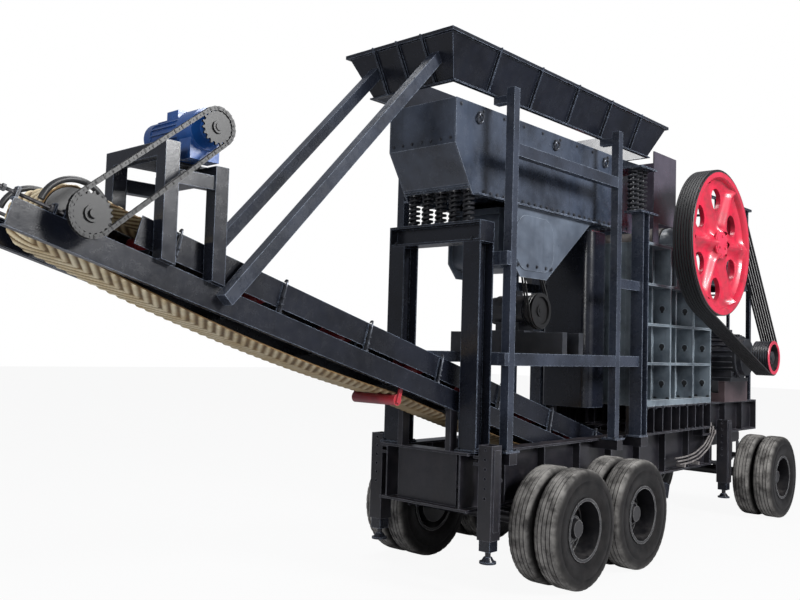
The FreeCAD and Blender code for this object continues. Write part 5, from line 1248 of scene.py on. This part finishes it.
@dataclass
class CastFlywheels(Assembly):
    """The two cast flywheels: heavy rim, web with holes between broad rounded spokes, and bolted hub."""

    x: float = MAIN_SHAFT[0]
    z: float = MAIN_SHAFT[1]
    radius: float = 0.9
    rim_inner: float = 0.808
    inner_y: float = 0.945
    outer_y: float = 1.195
    web_y: float = 1.075
    hole_circle: float = 0.56
    hole_radius: float = 0.14
    hub_radius: float = 0.17
    sectors: int = 6
    spoke_high: float = 0.078
    spoke_half: float = 0.062

    def web_depth(self, radius: np.ndarray, angle: np.ndarray, from_hole: np.ndarray) -> np.ndarray:
        """Half the web's depth: a thin plate, a bell-shaped ridge on each spoke, fillets, a lip at the hole.

        Args:
            radius: Distance from the shaft's axis.
            angle: Angle from the hole's own line, in radians.
            from_hole: Distance from the hole's edge.

        Returns:
            Half the depth at each point.
        """
        beside = (math.pi / self.sectors - np.abs(angle)) * radius
        taper = np.clip(1.25 - 0.5 * radius / self.radius, 0, 1)
        ridge = self.spoke_high * np.exp(-(beside / self.spoke_half) ** 2) * taper
        hub = 0.05 * np.clip(1 - (radius - self.hub_radius) / 0.11, 0, 1) ** 2
        rim = 0.05 * np.clip(1 - (self.rim_inner - radius) / 0.09, 0, 1) ** 2
        lip = 0.012 * np.exp(-(from_hole / 0.016) ** 2)
        return 0.016 + ridge + hub + rim + lip

    def sector(self, shell: Shell, side: int, middle: float) -> None:
        """Adds one sixth of the web: rays from the hole's edge to the sector's sides, and the hole's wall.

        Args:
            shell: The shell to add to.
            side: -1 for the near wheel, 1 for the far one.
            middle: The hole's angle, in radians.
        """
        rows, per_side = 12, 14
        across = math.pi / self.sectors * self.hole_circle
        low, high = self.hub_radius - 0.006 - self.hole_circle, self.rim_inner + 0.004 - self.hole_circle
        k = np.arange(per_side) / per_side
        edge = np.concatenate([np.stack([low + (high - low) * k, np.full(per_side, -across)], -1),
                               np.stack([np.full(per_side, high), -across + 2 * across * k], -1),
                               np.stack([high + (low - high) * k, np.full(per_side, across)], -1),
                               np.stack([np.full(per_side, low), across - 2 * across * k], -1)])
        hole = edge / np.linalg.norm(edge, axis=1, keepdims=True) * self.hole_radius
        t = (np.arange(rows) / (rows - 1))[:, None, None] ** 1.4
        flat = hole[None] * (1 - t) + edge[None] * t
        radius, angle = self.hole_circle + flat[..., 0], flat[..., 1] / self.hole_circle
        from_hole = np.linalg.norm(flat, axis=-1) - self.hole_radius
        depth = self.web_depth(radius, angle, from_hole)
        faces = []
        for way in (1, -1):
            surface = np.stack([self.x + radius * np.cos(angle + middle),
                                side * self.web_y + way * side * depth,
                                self.z + radius * np.sin(angle + middle)], -1)
            faces.append(surface)
            shell.grid(surface, wrap_columns=True, flip=(way * side > 0))
        shell.grid(np.stack([faces[0][0], faces[1][0]], 0), wrap_columns=True, flip=(side < 0))

    def wheel(self, side: int, grooved: bool) -> Shell:
        """Builds one wheel.

        Args:
            side: -1 for the near wheel, 1 for the far one.
            grooved: Whether its rim carries the V grooves.

        Returns:
            The wheel's shell.
        """
        shell = Shell("cast_flywheel_grooved" if grooved else "cast_flywheel_plain")
        y0, y1 = (-self.outer_y, -self.inner_y) if side < 0 else (self.inner_y, self.outer_y)
        outline = [(y0, self.rim_inner + 0.02), (y0, self.radius - 0.006), (y0 + 0.006, self.radius)]
        if grooved:
            outline += grooves(y0 + 0.0265, self.radius, 0.0145, 0.009, 0.02)
        outline += [(y1 - 0.006, self.radius), (y1, self.radius - 0.006), (y1, self.rim_inner + 0.02),
                    (y1 - 0.03, self.rim_inner), (y0 + 0.03, self.rim_inner)]
        shell.turned(np.array(outline)[::-1], (self.x, 0.0, self.z), 144)
        h0, h1 = (y0 + 0.03, y1 - 0.02) if side < 0 else (y0 + 0.02, y1 - 0.03)
        hub = [(h0, 0.122), (h0, self.hub_radius - 0.012), (h0 + 0.012, self.hub_radius),
               (h1 - 0.012, self.hub_radius), (h1, self.hub_radius - 0.012), (h1, 0.122)]
        shell.turned(np.array(hub)[::-1], (self.x, 0.0, self.z), 64)
        for i in range(self.sectors):
            self.sector(shell, side, math.radians(30.0) + i * TAU / self.sectors)
        return shell

    def build(self) -> None:
        """Casts both wheels and bolts their hubs."""
        paint = WheelPaint("flywheel_red", self.place.point(self.x, 0.0, self.z), self.radius - 0.012)
        self.wheel(-1, True).build(paint, self.place, Body.FLYWHEELS, 38.0, ("flywheel_grooved",))
        self.wheel(1, False).build(paint, self.place, Body.FLYWHEELS, 38.0, ("flywheel_plain",))
        shell = Shell("hub_rings")
        for side in (-1, 1):
            y0, y1 = sorted((side * 1.163, side * 1.183))
            ring = [(y0, 0.152), (y0, 0.186), (y1 - 0.004, 0.186), (y1, 0.181), (y1, 0.152)]
            shell.turned(np.array(ring)[::-1], (self.x, 0.0, self.z), 72)
            shell.prisms(circle(self.x, side * 1.18, self.z, 0.168, evenly(8)), (0, side, 0), 0.012, 0.012)
        shell.build(PULLEY_RED, self.place, Body.FLYWHEELS)


@dataclass
class CrusherDetails(Assembly):
    """Small features on the crusher's side plates: a framed hand hole, and holes in plates and ribs shown as
    black discs and a black sheet of painted shade.
    """

    plate_y: float = PLATE_Y
    columns: tuple[float, ...] = (2.135, 2.81, 3.48, 4.04)
    rib_hole_z: tuple[float, ...] = (1.90, 2.36, 2.83)
    plate_holes: tuple[tuple[float, float], ...] = ((2.70, 1.90), (2.70, 2.37), (2.70, 2.84), (3.95, 1.90),
                                                    (3.95, 2.37))
    foot_holes_x: tuple[float, ...] = (2.58, 2.74, 3.90)
    hand_hole: tuple[float, float, float, float] = (3.24, 3.43, 1.77, 2.05)
    hole_shade_thick: float = 0.003

    def frame_line(self, x0: float, x1: float, z0: float, z1: float, corner: float, y: float) -> np.ndarray:
        """A closed rounded rectangle: four quarter circles joined by straight sides.

        Args:
            x0: Left side.
            x1: Right side.
            z0: Foot.
            z1: Top.
            corner: Corner radius.
            y: Its plane.

        Returns:
            Points along it.
        """
        arcs = []
        left, right, low, high = x0 + corner, x1 - corner, z0 + corner, z1 - corner
        for cx, cz, start in ((right, high, 0.0), (left, high, 0.25), (left, low, 0.5), (right, low, 0.75)):
            a = (start + np.linspace(0.0, 0.25, 8)) * TAU
            arcs.append(circle(cx, y, cz, corner, a))
        return np.concatenate(arcs)

    def build(self) -> None:
        """Makes the hand hole's frame, and the black discs and sheet that paint the shade inside the holes,
        on both sides.
        """
        pale, dark = Shell("hand_hole_frames"), Shell("sight_hole_painted_shade")
        # Painted shade: every piece of the dark shell is a thin black disc or sheet where a hole opens.
        for side in (-1, 1):
            y = side * (self.plate_y + 0.012)
            pale.tube(self.frame_line(*self.hand_hole, 0.06, y), 0.015, 8, closed=True)
            for x in self.columns[1:]:
                for z in self.rib_hole_z:
                    rib = np.array([x - 0.015, side * 0.61, z])
                    dark.prisms(rib, (-1, 0, 0), 0.034, 0.003, 20)
                    dark.prisms(rib + np.array([0.0, 0.0, -0.036]), (-1, 0, 0), 0.018, 0.003, 12)
                    pale.prisms(rib, (-1, 0, 0), 0.043, 0.0015, 20)
                for y0 in (0.53, 0.69):
                    dark.prisms(np.array([x - 0.015, side * y0, 1.716]), (-1, 0, 0), 0.022, 0.002, 14)
            for x, z in self.plate_holes:
                dark.prisms(np.array([x, side * self.plate_y, z]), (0, side, 0), 0.032, 0.003, 20)
                pale.tube(self.frame_line(x - 0.043, x + 0.043, z - 0.043, z + 0.043, 0.0425,
                                          side * (self.plate_y + 0.005)), 0.009, 6, closed=True)
            for x in self.foot_holes_x:
                dark.prisms(np.array([x, side * self.plate_y, 1.735]), (0, side, 0), 0.045, 0.003, 20)
            # Painted shade: a thin black sheet fills the hand hole's frame.
            y0, y1 = sorted((side * self.plate_y, side * (self.plate_y + self.hole_shade_thick)))
            dark.blocks(np.array([3.26, y0, 1.79]), np.array([3.41, y1, 2.03]))
        pale.build(CRUSHER, self.place, Body.PLANT)
        dark.build(CABLE_BLACK, self.place, Body.PLANT)


@dataclass
class LegLocks(Assembly):
    """The lock pin, its bracket and the holed strip on each support leg."""

    leg_x: tuple[float, float] = (-0.87, 4.63)
    leg_y: float = 0.68
    half: float = 0.075
    strip_thick: float = 0.008
    strip_half: float = 0.045
    strip_z: tuple[float, float] = (0.60, 1.34)
    bracket_z: tuple[float, float] = (1.00, 1.11)
    first_hole_z: float = 0.72
    hole_pitch: float = 0.125

    def build(self) -> None:
        """Adds a strip with pin holes shown as black discs of painted shade, a bracket and a pin to each
        sleeve.
        """
        strips, holes = Shell("leg_strips"), Shell("leg_pin_hole_painted_shade")
        for x in self.leg_x:
            for side in (-1, 1):
                y = side * (self.leg_y + self.half)
                y0, y1 = sorted((y, y + side * self.strip_thick))
                strips.blocks(np.array([x - self.strip_half, y0, self.strip_z[0]]),
                              np.array([x + self.strip_half, y1, self.strip_z[1]]))
                strips.blocks(np.array([x + self.half, side * self.leg_y - 0.035, self.bracket_z[0]]),
                              np.array([x + self.half + 0.05, side * self.leg_y + 0.035,
                                        self.bracket_z[1]]))
                strips.prisms(np.array([x + self.half + 0.03, side * self.leg_y - 0.06, 1.055]), (0, 1, 0),
                              0.016, 0.12, 12)
                strips.prisms(np.array([x + self.half + 0.02, side * self.leg_y, self.bracket_z[1]]),
                              (0, 0, 1), 0.020, 0.05, 6)
                # Painted shade: thin black discs stand where the pin holes open.
                spots = line(x, y + side * self.strip_thick,
                             self.first_hole_z + self.hole_pitch * np.arange(5))
                holes.prisms(spots, (0, side, 0), 0.017, 0.002, 16)
        strips.build(CHASSIS, self.place, Body.PLANT)
        holes.build(CABLE_BLACK, self.place, Body.PLANT)


@dataclass
class LiftingEyes(Assembly):
    """Ring eyes on the feeder's side plates."""

    along: tuple[float, ...] = (-0.82, 0.55, 1.62)
    z: float = 4.475
    ring: float = 0.042
    wire: float = 0.0115

    def build(self) -> None:
        """Bends each ring as a circle that leans on its pad."""
        a = evenly(28)
        shell = Shell("lifting_eyes")
        for side in (-1, 1):
            for x in self.along:
                y = side * (0.42 + 0.014)
                bent = line(x + self.ring * np.cos(a), y + side * 0.012 * (1 + np.sin(a)),
                            self.z + self.ring * np.sin(a))
                shell.tube(bent, self.wire, 8, closed=True)
                shell.prisms(np.array([x, side * 0.42, self.z + self.ring]), (0, side, 0), 0.028, 0.03, 12)
        shell.build(BOLT, self.place, Body.PLANT)


@dataclass
class HeadGuard(Assembly):
    """The round bar bent over each end of the head drum."""

    slope: Slope = field(default_factory=Slope)
    reach: float = 0.232
    y: float = 0.285
    bar: float = 0.021

    def build(self) -> None:
        """Bends the bars as arcs about the drum's axis."""
        a = np.radians(np.linspace(-12.0, 176.0, 40))
        shell = Shell("drum_end_bars")
        for side in (-1, 1):
            shell.tube(self.slope.carry(self.reach * np.cos(a), side * self.y, self.reach * np.sin(a)),
                       self.bar, 12)
        shell.build(CABLE_BLACK, self.place, Body.PLANT, 60.0)


@dataclass
class LegPipes(Assembly):
    """Hydraulic pipes from the front leg back along the near beam, with their clips."""

    count: int = 3
    radius: float = 0.012
    first_y: float = -0.565
    gap: float = 0.03
    steps: int = 60
    smoothing: int = 9

    def build(self) -> None:
        """Runs each pipe through set points, eased between them and smoothed by a moving mean."""
        shell = Shell("leg_pipes")
        for i in range(self.count):
            y = self.first_y - self.gap * i
            knots = np.array([[4.44, y, 1.30 - 0.05 * i], [4.36, y - 0.02, 1.18],
                              [4.16, y - 0.03, 1.06 - 0.02 * i], [3.90, y - 0.01, 0.96 - 0.03 * i],
                              [3.62, y, 0.93 - 0.035 * i], [3.30, y, 0.93 - 0.035 * i]])
            t = np.linspace(0, len(knots) - 1, self.steps)
            base = np.clip(t.astype(int), 0, len(knots) - 2)
            f = (t - base)[:, None]
            ease = f * f * (3 - 2 * f)
            route = knots[base] * (1 - ease) + knots[base + 1] * ease
            mean = np.ones(self.smoothing) / self.smoothing
            padded = np.pad(route, ((self.smoothing // 2, self.smoothing // 2), (0, 0)), mode="edge")
            route = np.stack([np.convolve(padded[:, k], mean, "valid") for k in range(3)], -1)
            shell.tube(route, self.radius, 8)
            shell.prisms(route[0], (0, 0, 1), 0.019, 0.05, 6)
        for x in (3.42, 3.85):
            shell.blocks(np.array([x - 0.02, -0.655, 0.82]), np.array([x + 0.02, -0.546, 0.86]))
        shell.build(HOSE, self.place, Body.PLANT, 60.0)


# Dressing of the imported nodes, camera and light

def dress(frame: dict) -> None:
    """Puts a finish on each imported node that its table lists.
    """
    table: tuple[tuple[Finish, tuple[str, ...]],
                 ...] = ((CHASSIS,
                          ("chassis_frame", "crusher_bed", "rear_axles", "rear_suspension", "bogie_frame",
                           "bogie_suspension", "front_axle", "leg_sleeves")),
                         (NECK, ("motor_bed", "cabinet")),
                         (POSTS_PAINTED_HIGHLIGHT, ("hopper_posts", "spring_columns", "conveyor_struts")),
                         (FRAME,
                          ("feeder_gantry", "feed_hopper", "service_deck", "conveyor_frame", "skirt_boards",
                           "drive_stand", "fines_chute", "leg_rear_near", "leg_rear_far", "leg_front_near",
                           "leg_front_far")), (FEEDER, ("feeder_trough",)), (EXCITER, ("exciter",)),
                         (CRUSHER, ("crusher_frame",)), (GUARD, ("crusher_hood",)),
                         (MOTOR, ("drive_motor", "feeder_motor")), (GEAR, ("gear_motor",)),
                         (PULLEY_RED, ("main_shaft",)), (OILED, ("exciter_pulley", "feeder_motor_pulley")),
                         (OILED, ("motor_sprocket", "head_pulley", "tail_pulley")),
                         (ROLLER_RED, ("conveyor_rollers",)), (IRON, ("fixed_jaw", "swing_jaw")),
                         (RIM, tuple(name for name in frame["nodes"] if name.startswith("rims_"))),)
    for finish, names in table:
        for name in names:
            if name not in frame["nodes"]:
                LOG.warning("no node %s", name)
                continue
            mesh = frame["nodes"][name].data
            mesh.materials.clear()
            mesh.materials.append(finish.material())
            LOG.info("%s: %s", name, finish.name)


@dataclass
class Studio(Assembly):
    """The camera of the photograph, a pale floor and soft plain light."""

    eye: Point = (-7.37, -5.39, 2.25)
    yaw: float = math.radians(42.14)
    pitch: float = math.radians(3.17)
    roll: float = math.radians(1.66)
    focal_px: float = 861.6
    width_px: float = 800.0

    def camera(self) -> None:
        """Sets the camera: forward from yaw and pitch, its frame turned by the roll."""
        forward = Vector((math.cos(self.pitch) * math.cos(self.yaw),
                          math.cos(self.pitch) * math.sin(self.yaw), math.sin(self.pitch)))
        level = Vector((math.sin(self.yaw), -math.cos(self.yaw), 0.0))
        upright = level.cross(forward)
        c, s = math.cos(self.roll), math.sin(self.roll)
        right = c * level + s * upright
        up = -s * level + c * upright
        data = bpy.data.cameras.new("photo_camera")
        data.sensor_width = 36.0
        data.lens = self.focal_px / self.width_px * data.sensor_width
        data.clip_end = 200.0
        camera = bpy.data.objects.new("photo_camera", data)
        turn = Matrix((right, up, -forward)).transposed().to_4x4()
        camera.matrix_world = Matrix.Translation(self.place.point(*self.eye)) @ turn
        bpy.context.scene.collection.objects.link(camera)
        bpy.context.scene.camera = camera

    def floor(self) -> None:
        """A wide pale floor that shows almost white to the camera and keeps the object's shadow."""
        mesh = bpy.data.meshes.new("pale_floor")
        size = 60.0
        mesh.from_pydata([(-size, -size, 0), (size, -size, 0), (size, size, 0), (-size, size, 0)], [],
                         [(0, 1, 2, 3)])
        piece = bpy.data.objects.new("pale_floor", mesh)
        bpy.context.scene.collection.objects.link(piece)
        made = bpy.data.materials.new("pale_floor")
        made.use_nodes = True
        made.node_tree.nodes.clear()
        book = NodeBook(made.node_tree)
        matt = book.node("ShaderNodeBsdfDiffuse", {"Color": (0.42, 0.42, 0.43, 1)})
        glow = book.node("ShaderNodeEmission", {"Color": (1, 1, 1, 1), "Strength": 1.0})
        seen = book.node("ShaderNodeLightPath").outputs["Is Camera Ray"]
        share = book.math("MULTIPLY", seen, 0.93)
        mixed = book.node("ShaderNodeMixShader", {0: share, 1: matt.outputs[0], 2: glow.outputs[0]})
        book.node("ShaderNodeOutputMaterial", {"Surface": mixed.outputs[0]})
        mesh.materials.append(made)

    def world(self) -> None:
        """A soft grey world that the camera and glass see as white."""
        world = bpy.data.worlds.new("studio")
        bpy.context.scene.world = world
        world.use_nodes = True
        world.node_tree.nodes.clear()
        book = NodeBook(world.node_tree)
        path = book.node("ShaderNodeLightPath")
        shown = book.math("MAXIMUM", path.outputs["Is Camera Ray"], path.outputs["Is Transmission Ray"])
        soft = book.node("ShaderNodeBackground", {"Color": (0.86, 0.9, 1.0, 1), "Strength": 0.30})
        white = book.node("ShaderNodeBackground", {"Color": (1, 1, 1, 1), "Strength": 1.0})
        mixed = book.node("ShaderNodeMixShader", {0: shown, 1: soft.outputs[0], 2: white.outputs[0]})
        book.node("ShaderNodeOutputWorld", {"Surface": mixed.outputs[0]})

    def lamps(self) -> None:
        """A key lamp on the near side, a weaker one behind the tail and a broad one above."""
        for name, spot, aim, power, size in (("key", (1.5, -13.0, 9.0), (0.0, 0.0, 2.4), 3000.0, 4.0),
                                             ("side", (-13.0, -4.0, 5.5), (0.0, 0.0, 2.4), 520.0, 4.0),
                                             ("top", (0.0, 2.0, 13.0), (0.0, 0.0, 3.0), 1200.0, 6.0)):
            data = bpy.data.lights.new(name, "AREA")
            data.energy = power
            data.size = size
            lamp = bpy.data.objects.new(name, data)
            away = Vector(spot) - Vector(aim)
            lamp.matrix_world = Matrix.Translation(spot) @ away.to_track_quat("Z", "Y").to_matrix().to_4x4()
            bpy.context.scene.collection.objects.link(lamp)

    def build(self) -> None:
        """Sets camera, floor, world and lamps."""
        bpy.context.scene.view_settings.view_transform = "Standard"
        self.camera()
        self.floor()
        self.world()
        self.lamps()


def main() -> None:
    """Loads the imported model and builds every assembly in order."""
    logging.basicConfig(level=logging.INFO, format="%(name)s %(message)s")
    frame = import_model()
    place = Placing(axle_x=FRONT_AXLE_X)
    Studio(place).build()
    dress(frame)
    for assembly in (TyreSet, WheelFittings, VBelts, MotorPulley, RollerChain, CoilSprings, RibbedBelt,
                     ConveyorFittings, BoltRows, CastFlywheels, CrusherDetails, LegLocks, LiftingEyes,
                     HeadGuard, LegPipes):
        assembly(place).build()
        LOG.info("%s done", assembly.__name__)


if __name__ == "__main__":
    main()
